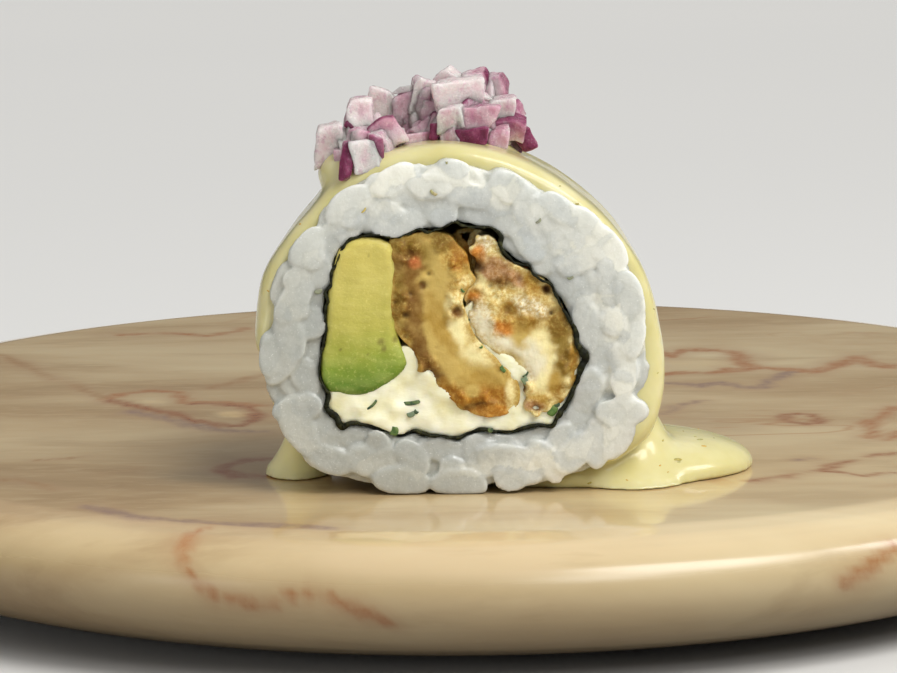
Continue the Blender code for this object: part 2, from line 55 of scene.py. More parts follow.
def cad_box(node):
    """Lowest and highest corner of a CAD node, in millimetres."""
    return [np.array(corner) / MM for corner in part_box(node)]


# Driving places, taken from the frame
FILLING_SUNK = 0.6                       # the CAD fillings end this far behind the cut faces
BOARD_TOP = cad_box("board")[1][2]
FACE_Y = cad_box("avocado")[0][1] - FILLING_SUNK
BACK_Y = cad_box("avocado")[1][1] + FILLING_SUNK
ROLL_X = -1.8
ROLL_UP = 20.5
ROLL_Z = BOARD_TOP + ROLL_UP
AXIS = np.array((ROLL_X, 0.0, ROLL_Z))

# Board's rim as (radius, height as a share of the board's height), from the top down
BOARD_RIM = (
    (86.0, 1.0), (91.0, 1.0), (94.5, 0.972), (97.0, 0.92), (98.8, 0.85), (99.7, 0.76),
    (100.0, 0.66), (99.8, 0.57), (98.9, 0.46), (97.2, 0.36), (94.9, 0.275), (92.0, 0.21),
    (88.7, 0.145), (85.0, 0.09), (81.5, 0.05), (78.0, 0.02), (76.0, 0.005), (74.0, 0.0),
)
BOARD_TURNS = 660
BOARD_STEP = 1.3                         # between the rings of its mesh on the top
RIM_STEP = 0.85                          # and on the rim

# Rice: reach of the grains on the cut face, as angle from +X upwards and radius
RICE_REACH = (
    (0, 23.6), (4, 23.45), (15, 23.1), (25, 22.85), (37, 21.75), (49, 21.0), (64, 20.3),
    (78, 20.3), (91, 21.0), (101, 20.8), (110, 21.3), (122, 21.5), (131, 21.6), (142, 21.5),
    (151, 22.2), (159, 22.5), (168, 23.2), (175, 22.4), (185.5, 24.2), (199, 24.8),
    (209, 24.5), (217, 24.8), (226, 24.95), (235, 23.35), (249, 21.6), (262, 20.8),
    (285, 20.55), (300, 22.4), (311, 23.8), (322, 25.7), (335, 26.1), (343, 24.9), (352, 24.2),
)
GRAIN = np.array((3.0, 1.72, 1.6))       # half length, half width and half height of a grain
GRAIN_CUT = 0.5                          # a grain on a cut face is cut flat this far from its middle
# Layers of grains behind a cut face: depth of grain middles and spacing
FACE_LAYERS = ((0.72, 1.85), (0.9, 1.85), (1.4, 2.0), (2.3, 2.3))
INNER_SUNK = 0.4                         # grains next to the nori lie deeper
END_ON = 0.3                             # share of the grains that point out of the face
CUT_SOFT = 0.17                          # rounding of the cut's edge
CORE_SUNK = 1.2                          # packed rice between the grains starts this far in
REAR_TAPER = 0.06                        # the roll narrows a little to the back
NORI_GAP = 0.12                          # from the nori's middle to the rice pressed against it
FRONT_SLAB = 5.0                         # depth of the finely modelled front of the rice
SPINE_POINTS = 5                         # along a grain, to tell which grain is near
FACE_TRIES = 5000                        # places tried for grains between those laid in rows

# Nori: outline of the sheet's middle
NORI_OUTLINE = (
    (-12.9, 10.9), (-12.1, 11.3), (-9.6, 11.6), (-7.1, 11.2), (-5.7, 11.7), (-4.2, 12.3),
    (-3.3, 11.9), (-1.9, 12.2), (0.0, 13.0), (1.0, 12.6), (2.6, 12.5), (4.0, 12.4),
    (4.9, 12.1), (5.7, 11.3), (5.6, 10.2), (6.2, 9.1), (7.4, 8.0), (9.0, 7.7), (9.4, 6.8),
    (10.5, 6.0), (11.7, 5.4), (12.0, 4.5), (12.6, 3.4), (13.3, 2.0), (13.9, 0.9),
    (14.6, -0.3), (15.1, -2.1), (15.9, -3.6), (15.5, -4.8), (15.0, -6.4), (14.3, -7.9),
    (13.3, -9.7), (12.4, -11.1), (11.7, -12.2), (10.3, -12.0), (8.3, -12.4), (6.0, -12.9),
    (3.3, -12.5), (1.7, -12.9), (0.4, -13.6), (-1.9, -13.3), (-3.9, -13.0), (-5.1, -12.6),
    (-6.9, -13.2), (-10.0, -12.0), (-11.4, -11.7), (-12.8, -11.5), (-13.9, -12.0),
    (-14.6, -10.9), (-15.6, -10.0), (-15.8, -9.1), (-15.5, -8.2), (-15.9, -7.0),
    (-16.5, -5.7), (-16.45, -4.2), (-16.3, -2.9), (-15.95, -1.7), (-15.65, 0.0),
    (-15.7, 2.0), (-15.5, 3.8), (-15.7, 4.7), (-15.0, 5.6), (-14.9, 7.0), (-14.3, 8.3),
    (-13.8, 9.7),
)
NORI_THICK = 0.26
# Where the sheet is doubled or bunched: angle, spread in degrees and added thickness
NORI_BUNCHED = ((345, 16, 0.75), (216, 7, 0.6), (62, 6, 0.25), (318, 6, 0.35))
# Where the soft fillings and the rice cover its edge: angle, spread and how far it lies sunk
NORI_SUNK = ((240, 9, 1.0), (278, 4, 0.9), (296, 5, 0.8))

# Fillings
AVOCADO_OUTLINE = (
    (-13.9, 9.9), (-12.7, 10.9), (-11.4, 11.3), (-10.1, 11.35), (-8.6, 11.0), (-7.6, 10.3),
    (-7.25, 8.8), (-7.15, 6.9), (-7.4, 4.6), (-7.3, 1.4), (-7.0, -0.8),
    (-6.5, -2.3), (-6.0, -3.3), (-5.9, -4.3),
    (-6.6, -5.4), (-8.7, -7.0), (-10.4, -7.8), (-12.3, -8.2), (-14.2, -7.9), (-15.6, -7.4),
    (-16.4, -5.4), (-16.3, -3.2), (-15.7, -0.8), (-15.6, 2.0), (-15.45, 4.4), (-14.9, 6.6),
    (-14.4, 8.6),
)
LEFT_OUTLINE = (
    (-7.8, 11.0), (-5.4, 11.6), (-4.0, 11.9), (-2.0, 11.9), (-0.4, 11.3), (0.5, 10.2),
    (1.6, 9.0), (1.9, 7.2), (2.6, 5.9), (1.5, 4.6), (1.0, 3.2), (1.6, 1.4), (2.3, -0.6),
    (3.6, -2.2), (5.0, -3.6), (6.6, -5.2), (7.7, -6.8), (7.8, -9.0), (6.8, -10.4),
    (5.0, -11.0), (2.6, -10.8), (0.6, -9.6), (-1.2, -8.2), (-2.6, -6.6), (-4.2, -4.6),
    (-5.4, -2.4), (-6.9, -0.8), (-7.8, 1.4), (-7.8, 4.0), (-7.6, 7.0), (-7.8, 9.6),
)
RIGHT_OUTLINE = (
    (3.0, 11.2), (4.4, 11.3), (5.3, 10.4), (6.0, 8.8), (7.6, 7.8), (9.1, 7.1), (11.0, 5.8),
    (12.1, 4.4), (13.0, 2.8), (13.8, 1.0), (14.5, -0.8), (15.1, -3.0), (15.2, -4.8),
    (14.6, -6.6), (13.8, -8.2), (12.6, -9.6), (11.4, -10.4), (9.6, -10.2), (8.6, -9.0),
    (8.7, -7.2), (8.4, -5.6), (7.0, -4.4), (5.2, -3.2), (3.2, -1.6), (2.0, 0.2), (1.7, 2.2),
    (1.5, 4.4), (2.3, 6.4), (2.6, 8.2), (2.4, 10.0),
)
# Upper edge of the cream cheese, from right to left; below it follows the nori
CHEESE_TOP = (
    (14.4, -4.0), (12.6, 0.6), (10.6, 3.2), (8.0, 4.0), (4.4, 3.6), (2.2, 3.4), (0.6, 2.0),
    (-1.5, -1.5), (-4.4, -2.4), (-6.6, -2.0), (-7.2, -3.6), (-11.0, -6.0), (-15.6, -6.6),
)
DEPTHS = {"avocado": 0.45, "fillet_left": 0.6, "fillet_right": 0.6, "cream_cheese": 0.95}

# Sauce: outer surface at mid length, as angle and radius
SAUCE_REACH = (
    (0, 25.0), (15, 24.3), (30, 23.1), (45, 22.3), (60, 21.9), (75, 22.0), (90, 22.3),
    (105, 22.5), (118, 23.2), (125, 23.4), (131, 23.2), (137, 22.9), (143, 22.9), (152, 23.3),
    (166, 24.4), (177, 24.6), (195, 25.2), (205, 26.0), (217, 26.4), (235, 24.0), (255, 15.0),
    (300, 15.0), (318, 26.0), (330, 27.7), (342, 27.0), (352, 25.9),
)
SAUCE_LIP = ((0.0, 0.25), (0.5, 0.62), (1.3, 0.9), (2.8, 1.0))   # depth from its edge, share
SAUCE_SUNK = 1.9                         # its edge lies this far behind the shown face
SAUCE_BACK = 0.7                         # and this far before the back face
# Where its edge comes further forward: angle, spread in degrees and amount
SAUCE_AHEAD = ((330, 14, 1.4), (25, 30, 0.5))
PUDDLE = {"x": 14.0, "y": -53.0, "rx": 22.3, "ry": 14.4, "h": 4.7, "form": "flat"}
NECK = {"x": 20.0, "y": -58.0, "rx": 9.6, "ry": 11.5, "h": 16.5, "form": "cone"}
# Sauce heaped up under the onion: centre about the axis and half sizes
SADDLES = (
    {"x": -12.2, "depth": 8.6, "z": 18.4, "rx": 4.6, "ry": 5.0, "rz": 3.6},
    {"x": 0.4, "depth": 13.5, "z": 20.4, "rx": 7.4, "ry": 8.0, "rz": 2.2},
)
FOOT = {"x": -21.9, "y": -55.0, "rx": 4.9, "ry": 6.2, "h": 9.0, "form": "cone"}
STREAM_W = 5.5
BARE_DROP = 4.5
RIGHT_END_Y = -48.0

# Red onion: two mounds, each a centre about the axis and half sizes
MOUNDS = (
    {"x": -10.7, "depth": 8.2, "z": 20.4, "rx": 3.2, "ry": 4.2, "rz": 3.6},
    {"x": 1.0, "depth": 14.5, "z": 21.6, "rx": 6.6, "ry": 5.2, "rz": 6.9},
)

# Camera of the photograph
PHOTO_SIZE = (897, 673)
FOCAL = 3200.0                           # in pixels of the photograph
PITCH = math.radians(8.99)
TILT = math.radians(-0.62)
EYE = np.array((-2.6, -454.3, 98.45))

# Studio light: a soft key from the upper right in front, and a dome that is dim at
# the horizon, so that the polished board keeps its colour, and bright overhead
KEY_FROM = (0.46, -0.46, 0.80)
KEY_POWER = 2.05
KEY_SPREAD = math.radians(28)
SKY_RISE = (0.05, 0.65)
SKY_LIGHT = (0.10, 0.52)
# Square lights as name, place, aim, side length and power
AREA_LIGHTS = (
    ("front", (150, -420, 260), (0, -55, 35), 120, 0.35),
    ("side", (380, -120, 330), (0, -55, 35), 120, 0.5),
    ("fill", (-230, -300, 70), (-22, -55, 22), 90, 0.08),
)
FLOOR_SIDE = 6000.0                      # half the floor's width
FLOOR_Z = -0.05


# Shapes: numbers


def smooth_step(low, high, value):
    """0 below low, 1 above high and a soft slope between them."""
    t = np.clip((value - low) / (high - low), 0, 1)
    return t * t * (3 - 2 * t)


def reach(table, angle):
    """Radius at angles in degrees, from a table of angle and radius."""
    angles, radii = np.array(table).T
    return np.interp(angle, angles, radii, period=360)


def smooth_loop(knots, count):
    """Closed smooth curve through the knots, as count points."""
    knots = np.array(knots, float)
    place = np.arange(count) / count * len(knots)
    first = place.astype(int)
    t = (place - first)[:, None]
    a, b, c, d = (knots[(first + k) % len(knots)] for k in (-1, 0, 1, 2))
    return b + 0.5 * t * (c - a + t * (2 * a - 5 * b + 4 * c - d + t * (3 * (b - c) + d - a)))


def hashed(cell, seed):
    """Even random numbers from 0 to 1, the same for the same cell."""
    n = cell[:, 0] * 374761393 + cell[:, 1] * 668265263 + cell[:, 2] * 1442695041 + seed * 974634777
    n = (n ^ (n >> 13)) * 1274126177 & 0xFFFFFFFF
    n = (n ^ (n >> 15)) * 2246822519 & 0xFFFFFFFF
    return (n ^ (n >> 16) & 0xFFFF) / 4294967295.0


def noise(points, size, seed=0):
    """Smooth noise from -1 to 1 with lumps of about the size."""
    place = points / size
    cell = np.floor(place).astype(np.int64)
    t = place - cell
    t = t * t * (3 - 2 * t)
    total = np.zeros(len(points))
    for corner in np.ndindex(2, 2, 2):
        weight = np.prod(np.where(corner, t, 1 - t), axis=1)
        total += weight * hashed(cell + corner, seed)
    return 2 * total - 1


def rough(points, size, seed=0, octaves=3):
    """Noise with finer noise on it."""
    return sum(noise(points, size / 2 ** k, seed + 7 * k) / 2 ** k for k in range(octaves))


def polar(points):
    """Angle in degrees and distance of points about the roll's axis."""
    x, z = points[:, 0] - ROLL_X, points[:, 2] - ROLL_Z
    return np.degrees(np.arctan2(z, x)) % 360, np.hypot(x, z)


NORI_CURVE = smooth_loop(NORI_OUTLINE, 1320)
NORI_TABLE = sorted(zip(np.degrees(np.arctan2(NORI_CURVE[:, 1], NORI_CURVE[:, 0])) % 360,
                        np.hypot(NORI_CURVE[:, 0], NORI_CURVE[:, 1])))


def edge_distance(points, loop):
    """Distance of points in the face's plane to the points of a loop."""
    flat = points[:, (0, 2)] - (ROLL_X, ROLL_Z)
    best = np.full(len(flat), 1e9)
    for knot in loop:
        best = np.minimum(best, np.sum((flat - knot) ** 2, axis=1))
    return np.sqrt(best)


def inside(points, loop):
    """1 for points inside a loop about the axis and 0 for the others."""
    x, z = points[:, 0] - ROLL_X, points[:, 2] - ROLL_Z
    crossed = np.zeros(len(points), bool)
    for (ax, az), (bx, bz) in zip(loop, np.roll(loop, -1, 0)):
        if az != bz:
            crossed ^= ((az > z) != (bz > z)) & (x < ax + (z - az) * (bx - ax) / (bz - az))
    return crossed.astype(float)


# Shapes: meshes


def make(name, points, faces):
    """Mesh object from points in millimetres."""
    mesh = bpy.data.meshes.new(name)
    mesh.from_pydata((np.asarray(points) * MM).tolist(), [], faces)
    shape = bmesh.new()
    shape.from_mesh(mesh)
    bmesh.ops.recalc_face_normals(shape, faces=shape.faces)
    shape.to_mesh(mesh)
    shape.free()
    piece = bpy.data.objects.new(name, mesh)
    bpy.context.scene.collection.objects.link(piece)
    return piece


def joined(parts):
    """Points and faces of several parts as one list each."""
    points, faces, start = [], [], 0
    for part_points, part_faces in parts:
        points.append(np.asarray(part_points))
        faces += [[start + i for i in face] for face in part_faces]
        start += len(part_points)
    return np.vstack(points), faces


def ball(level):
    """Points and faces of a ball of radius 1."""
    shape = bmesh.new()
    bmesh.ops.create_icosphere(shape, subdivisions=level, radius=1.0)
    points = np.array([vert.co[:] for vert in shape.verts])
    faces = [[vert.index for vert in face.verts] for face in shape.faces]
    shape.free()
    return points, faces


def block(steps):
    """Points and faces of a cube of half size 1, each side cut in steps."""
    ticks = np.linspace(-1, 1, steps + 1)
    index, points, faces = {}, [], []

    def corner(place):
        key = tuple(np.round(place, 6))
        if key not in index:
            index[key] = len(points)
            points.append(key)
        return index[key]

    for axis in range(3):
        for side in (-1, 1):
            for i in range(steps):
                for j in range(steps):
                    around = ((i, j), (i + 1, j), (i + 1, j + 1), (i, j + 1))
                    face = [corner(np.insert((ticks[a], ticks[b]), axis, side)) for a, b in around]
                    faces.append(face if side > 0 else face[::-1])
    return np.array(points), faces


def prism(loop, front, back):
    """Closed outline about the axis, run from front to back, with flat ends."""
    count = len(loop)
    points = [np.column_stack((ROLL_X + loop[:, 0], np.full(count, y), ROLL_Z + loop[:, 1]))
              for y in (front, back)]
    faces = [list(range(count)), list(range(count, 2 * count))[::-1]]
    return np.vstack(points), faces + tube_faces(count, 2)


def tube_faces(count, rows, closed=False):
    """Faces between rings of points; closed joins the last ring to the first."""
    faces = []
    for row in range(rows if closed else rows - 1):
        low, high = row * count, (row + 1) % rows * count
        for i in range(count):
            j = (i + 1) % count
            faces.append([low + i, low + j, high + j, high + i])
    return faces


def turned(points, *turns):
    """Points turned about named axes by angles in degrees, the first turn first."""
    for axis, angle in turns:
        points = points @ np.array(Matrix.Rotation(math.radians(angle), 3, axis)).T
    return points


def skinned(name, parts, voxel, passes=3):
    """One closed skin round overlapping closed parts, softened by some passes."""
    piece = make(name, *joined(parts))
    remesh = piece.modifiers.new("remesh", "REMESH")
    remesh.mode = "VOXEL"
    remesh.voxel_size = voxel * MM
    if passes:
        smooth = piece.modifiers.new("smooth", "SMOOTH")
        smooth.factor = 0.5
        smooth.iterations = passes
    depsgraph = bpy.context.evaluated_depsgraph_get()
    mesh = bpy.data.meshes.new_from_object(piece.evaluated_get(depsgraph))
    piece.modifiers.clear()
    piece.data = mesh
    return piece


def tree_of(piece):
    """Search tree over a piece's faces, in metres."""
    mesh = piece.data
    return bvhtree.BVHTree.FromPolygons([vert.co for vert in mesh.vertices],
                                        [face.vertices for face in mesh.polygons])


def points_of(piece):
    """The piece's points in millimetres."""
    values = np.empty(3 * len(piece.data.vertices))
    piece.data.vertices.foreach_get("co", values)
    return values.reshape(-1, 3) / MM


def normals_of(piece):
    """The piece's directions outwards at its points."""
    values = np.empty(3 * len(piece.data.vertices))
    piece.data.vertices.foreach_get("normal", values)
    return values.reshape(-1, 3)


def reshape(piece, points):
    """Move the piece's points."""
    piece.data.vertices.foreach_set("co", (points * MM).ravel())
    piece.data.update()


def mark(piece, name, values):
    """Keep a number for each point, for the piece's material."""
    layer = piece.data.attributes.new(name, "FLOAT", "POINT")
    layer.data.foreach_set("value", np.asarray(values, float))


def mark_colour(piece, name, colours):
    """Keep a colour for each point, for the piece's material."""
    layer = piece.data.attributes.new(name, "FLOAT_COLOR", "POINT")
    layer.data.foreach_set("color", np.column_stack((colours, np.ones(len(colours)))).ravel())


def dress(piece, material, node):
    """Give a piece its material and its body, and hide the CAD node that it stands for."""
    piece.data.materials.clear()
    piece.data.materials.append(material)
    piece.data.shade_smooth()
    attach(piece, "root")
    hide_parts(node)
    return piece


# Materials


def linear(colour):
    """Display colour, 0 to 255, as linear light."""
    share = np.asarray(colour, float) / 255
    return np.where(share <= 0.04045, share / 12.92, ((share + 0.055) / 1.055) ** 2.4)


class Surface:
    """A material, its shader and short ways to add nodes."""

    def __init__(self, name, **settings):
        self.material = bpy.data.materials.new(name)
        self.material.use_nodes = True
        self.tree = self.material.node_tree
        self.shader = self.tree.nodes["Principled BSDF"]
        for key, value in settings.items():
            self.put(self.shader.inputs[key.replace("_", " ")], value)

    def put(self, socket, value):
        if isinstance(value, bpy.types.NodeSocket):
            self.tree.links.new(value, socket)
        else:
            socket.default_value = value

    def node(self, kind, inputs=(), **settings):
        made = self.tree.nodes.new("ShaderNode" + kind)
        for name, value in settings.items():
            setattr(made, name, value)
        for key, value in dict(inputs).items():
            self.put(made.inputs[key], value)
        return made

    def place(self, stretch=(1, 1, 1)):
        """Position on the object, drawn out along an axis where its number is over 1."""
        where = self.node("TexCoord").outputs["Object"]
        scale = [1 / number for number in stretch]
        return self.node("Mapping", {"Vector": where, "Scale": scale}).outputs["Vector"]

    def noise(self, size, detail=3, harsh=0.5, stretch=(1, 1, 1), warp=0.0):
        """Lumps of a size in millimetres, 0 to 1."""
        inputs = {"Vector": self.place(stretch), "Scale": 1 / (size * MM), "Detail": detail,
                  "Roughness": harsh, "Distortion": warp}
        return self.node("TexNoise", inputs).outputs["Fac"]

    def value(self, name):
        return self.node("Attribute", attribute_name=name).outputs["Fac"]

    def sum(self, kind, first, second=0.0):
        return self.node("Math", {0: first, 1: second}, operation=kind).outputs[0]

    def span(self, value, low, high, start=0.0, end=1.0):
        """Value read from low to high as start to end."""
        inputs = {"Value": value, "From Min": low, "From Max": high, "To Min": start, "To Max": end}
        return self.node("MapRange", inputs).outputs["Result"]

    def mix(self, share, first, second, blend="MIX"):
        made = self.node("Mix", data_type="RGBA", blend_type=blend)
        self.put(made.inputs[0], share)
        for socket, colour in ((made.inputs[6], first), (made.inputs[7], second)):
            if not isinstance(colour, bpy.types.NodeSocket):
                colour = (*linear(colour), 1)
            self.put(socket, colour)
        return made.outputs[2]

    def ramp(self, value, *stops):
        """Colour from places between 0 and 1 and display colours."""
        made = self.node("ValToRGB", {0: value})
        points = made.color_ramp.elements
        while len(points) < len(stops):
            points.new(0.5)
        for point, (at, colour) in zip(points, stops):
            point.position = at
            point.color = (*linear(colour), 1)
        return made.outputs["Color"]

    def bump(self, height, depth, under=None):
        """Relief of a depth in millimetres."""
        inputs = {"Height": height, "Distance": depth * MM, "Strength": 1.0}
        if under:
            inputs["Normal"] = under
        return self.node("Bump", inputs).outputs["Normal"]

    def show(self, **inputs):
        for key, value in inputs.items():
            self.put(self.shader.inputs[key.replace("_", " ")], value)
        return self.material


def glow(surface, weight, red, green, blue):
    """Let light pass under the surface, by so many millimetres for each colour."""
    for name, value in (("Weight", weight), ("Radius", (red, green, blue)), ("Scale", MM)):
        surface.shader.inputs["Subsurface " + name].default_value = value


# Camera and light


def camera_axes():
    """The camera's right, up and forward directions."""
    forward = np.array((0, math.cos(PITCH), -math.sin(PITCH)))
    right = np.array((1.0, 0, 0))
    up = np.cross(right, forward)
    return (math.cos(TILT) * right + math.sin(TILT) * up,
            -math.sin(TILT) * right + math.cos(TILT) * up, forward)


def make_camera():
    right, up, forward = camera_axes()
    lens = bpy.data.cameras.new("camera")
    lens.sensor_width = 36
    lens.lens = FOCAL / PHOTO_SIZE[0] * lens.sensor_width
    lens.clip_start = 0.01
    shot = bpy.data.objects.new("camera", lens)
    turn = Matrix(np.array((right, up, -forward)).T.tolist()).to_4x4()
    shot.matrix_world = Matrix.Translation(Vector(EYE * MM)) @ turn
    bpy.context.scene.collection.objects.link(shot)
    bpy.context.scene.camera = shot


def through_pixel(px, py):
    """Direction from the eye through a pixel of the photograph."""
    right, up, forward = camera_axes()
    way = forward + right * (px - PHOTO_SIZE[0] / 2) / FOCAL + up * (PHOTO_SIZE[1] / 2 - py) / FOCAL
    return way / np.linalg.norm(way)


def on_piece(tree, px, py):
    """Point and direction outwards of a surface seen at a pixel, or none."""
    place, normal, _, _ = tree.ray_cast(Vector(EYE * MM), Vector(through_pixel(px, py)))
    return None if place is None else (np.array(place) / MM, np.array(normal))


def add_light(name, place, aim, size, power):
    """Soft square light at a place, turned to a point, both in millimetres."""
    lamp = bpy.data.lights.new(name, "AREA")
    lamp.size = size * MM
    lamp.energy = power
    light = bpy.data.objects.new(name, lamp)
    light.location = Vector(place) * MM
    light.rotation_euler = (Vector(aim) - Vector(place)).to_track_quat("-Z", "Y").to_euler()
    bpy.context.scene.collection.objects.link(light)


def make_studio():
    """Pale floor and soft light."""
    corners = [(x * FLOOR_SIDE, y * FLOOR_SIDE, FLOOR_Z) for x, y in ((-1, -1), (1, -1), (1, 1), (-1, 1))]
    floor = make("floor", corners, [[0, 1, 2, 3]])
    paint = Surface("floor", Roughness=0.85)
    tone = paint.mix(paint.noise(900, 2), (214, 214, 212), (222, 221, 218))
    floor.data.materials.append(paint.show(Base_Color=tone))
    for light in AREA_LIGHTS:
        add_light(*light)
    lamp = bpy.data.lights.new("key", "SUN")
    lamp.energy = KEY_POWER
    lamp.angle = KEY_SPREAD
    lamp.color = (1, 0.985, 0.96)
    key = bpy.data.objects.new("key", lamp)
    key.rotation_euler = (-Vector(KEY_FROM)).to_track_quat("-Z", "Y").to_euler()
    bpy.context.scene.collection.objects.link(key)
    world = bpy.data.worlds.new("studio")
    world.use_nodes = True
    tree = world.node_tree
    where = tree.nodes.new("ShaderNodeTexCoord")
    parts = tree.nodes.new("ShaderNodeSeparateXYZ")
    rise = tree.nodes.new("ShaderNodeMapRange")
    rise.interpolation_type = "SMOOTHSTEP"
    for name, value in zip(("From Min", "From Max", "To Min", "To Max"), (*SKY_RISE, *SKY_LIGHT)):
        rise.inputs[name].default_value = value
    tree.links.new(where.outputs["Generated"], parts.inputs[0])
    tree.links.new(parts.outputs["Z"], rise.inputs["Value"])
    tree.links.new(rise.outputs["Result"], tree.nodes["Background"].inputs["Strength"])
    tree.nodes["Background"].inputs["Color"].default_value = (1, 1, 1, 1)
    bpy.context.scene.world = world
    bpy.context.scene.view_settings.view_transform = "Standard"


# Board


# Veins as half width in millimetres, colour and pixels of the photograph along them
RUST = (150, 92, 52)
SIENNA = (170, 116, 70)
BRONZE = (164, 126, 82)
MAUVE = (150, 122, 104)
VEINS = (
    (0.9, BRONZE, (0, 355), (39, 374), (72, 386), (108, 400)),
    (1.3, SIENNA, (108, 400), (121, 395), (147, 391), (173, 392), (189, 402), (225, 403), (262, 405)),
    (1.4, RUST, (108, 400), (134, 406), (165, 411), (184, 415), (191, 421), (208, 426), (234, 426),
     (251, 420), (256, 413), (247, 406), (217, 404), (195, 404)),
    (1.6, MAUVE, (134, 411), (165, 417), (191, 427), (225, 431), (262, 431)),
    (1.5, SIENNA, (117, 335), (173, 334), (208, 335), (234, 332), (249, 328)),
    (1.0, BRONZE, (212, 388), (234, 381), (258, 375)),
    (1.5, RUST, (269, 459), (249, 460), (232, 464), (221, 470), (236, 476), (269, 478)),
    (0.9, BRONZE, (0, 478), (28, 484), (63, 489)), (0.9, BRONZE, (35, 460), (80, 458)),
    (1.3, MAUVE, (93, 508), (130, 517), (217, 523), (330, 528)),
    (0.95, SIENNA, (208, 527), (193, 534), (186, 547), (185, 560), (191, 573), (202, 584), (215, 593),
     (234, 598), (256, 605), (275, 606), (291, 597), (310, 595), (330, 598), (360, 612), (390, 625)),
    (1.7, SIENNA, (662, 352), (675, 357), (688, 350), (719, 350), (740, 352), (751, 365), (764, 368)),
    (2.0, SIENNA, (662, 375), (682, 373), (710, 373), (736, 370), (764, 368), (788, 370), (814, 372),
     (838, 365), (858, 357), (871, 363), (886, 366)),
    (1.6, MAUVE, (671, 383), (701, 386), (723, 383), (745, 387), (764, 387), (779, 378), (788, 372)),
    (1.0, MAUVE, (662, 414), (682, 406), (701, 400)),
    (1.3, RUST, (784, 419), (790, 415), (804, 414), (818, 415), (824, 419), (818, 423), (804, 424),
     (790, 423), (784, 419)),
    (1.6, SIENNA, (897, 408), (884, 415), (871, 421), (868, 428), (873, 437), (884, 439), (897, 432)),
    (1.0, RUST, (751, 482), (775, 479), (808, 473), (829, 471), (840, 465), (862, 459), (871, 455),
     (897, 452)),
    (0.9, RUST, (829, 472), (849, 472), (868, 475), (897, 473)), (1.0, MAUVE, (801, 461), (812, 459)),
    (1.0, SIENNA, (897, 547), (879, 558), (860, 573), (842, 584)),
)
VEIN_STEP = 0.8                          # between the points that a vein is laid out by
VEIN_WARP = 1.1                          # how far veins stray
VEIN_REACH = 12                          # no vein shows further than this from its line
# Clouds as pixel, half sizes in pixels, colour and strength; the first is painted shade, a darker band on
# the board left of the sauce's foot
CLOUDS_AND_SHADE = (
    (205, 474, 74, 12, (118, 104, 78), 0.6), (234, 415, 19, 4, (228, 196, 138), 0.8),
    (150, 402, 26, 4, (222, 198, 152), 0.7), (60, 440, 60, 14, (166, 142, 102), 0.4),
    (700, 420, 70, 16, (164, 138, 104), 0.5), (885, 425, 12, 6, (222, 200, 156), 0.6),
    (700, 362, 40, 5, (212, 186, 138), 0.6), (820, 500, 60, 12, (158, 134, 96), 0.45),
    (430, 560, 170, 18, (232, 208, 172), 0.45), (60, 545, 90, 22, (226, 204, 152), 0.4),
    (250, 575, 50, 14, (214, 186, 142), 0.4), (640, 545, 120, 16, (228, 206, 166), 0.4),
)


def seen_at(points):
    """Pixels of the photograph at which points are seen."""
    right, up, forward = camera_axes()
    rays = points - EYE
    deep = rays @ forward
    return (PHOTO_SIZE[0] / 2 + FOCAL * (rays @ right) / deep,
            PHOTO_SIZE[1] / 2 - FOCAL * (rays @ up) / deep)


def mark_veins(piece):
    """Mark the piece's points with the strength and colour of veins and clouds, one cloud being painted
    shade.
    """
    points = points_of(piece)
    tree = tree_of(piece)
    samples = []
    for half, colour, *pixels in VEINS:
        found = [on_piece(tree, *pixel) for pixel in pixels]
        line = [hit[0] for hit in found if hit]
        for a, b in zip(line, line[1:]):
            count = max(2, int(np.linalg.norm(b - a) / VEIN_STEP))
            samples += [(a + (b - a) * share, half, colour) for share in np.linspace(0, 1, count)]
    lookup = kdtree.KDTree(len(samples))
    for number, (place, _, _) in enumerate(samples):
        lookup.insert(place, number)
    lookup.balance()
    calm = 1 - 0.6 * smooth_step(BOARD_RIM[0][0], BOARD_RIM[2][0], np.hypot(points[:, 0], points[:, 1]))
    drift = np.column_stack([rough(points, 7.0, seed, 4) for seed in (1, 2, 3)])
    strayed = points + VEIN_WARP * calm[:, None] * drift
    thick = 1 + 0.5 * rough(points, 5.0, 9)
    shown, halo = np.zeros(len(points)), np.zeros(len(points))
    colours = np.tile(linear(SIENNA), (len(points), 1))
    for number, place in enumerate(strayed):
        _, nearest, distance = lookup.find(place)
        if distance > VEIN_REACH:
            continue
        _, half, colour = samples[nearest]
        share = distance / (half * max(0.4, thick[number]))
        shown[number] = 1 - smooth_step(0.35, 1.25, share)
        halo[number] = 1 - smooth_step(0.6, 3.2, share)
        colours[number] = linear(colour)
    mark(piece, "vein", shown)
    mark(piece, "halo", halo)
    mark_colour(piece, "vein_colour", colours)
    px, py = seen_at(points)
    tint = np.tile(linear((200, 178, 138)), (len(points), 1))
    strength = np.zeros(len(points))
    ragged = 0.45 * rough(points * (0.4, 1, 1), 9.0, 5)
    front = (points[:, 1] < 0) | (points[:, 2] > BOARD_TOP - 0.5)
    # The first cloud is painted shade, left of the sauce's foot
    for cx, cy, wide, high, colour, most in CLOUDS_AND_SHADE:
        away = np.hypot((px - cx) / wide, (py - cy) / high) + ragged
        share = most * front * (1 - smooth_step(0.4, 1.3, away))
        tint += share[:, None] * (linear(colour) - tint)
        strength = np.maximum(strength, share)
    mark(piece, "cloud", strength)
    mark_colour(piece, "cloud_and_shade_colour", tint)


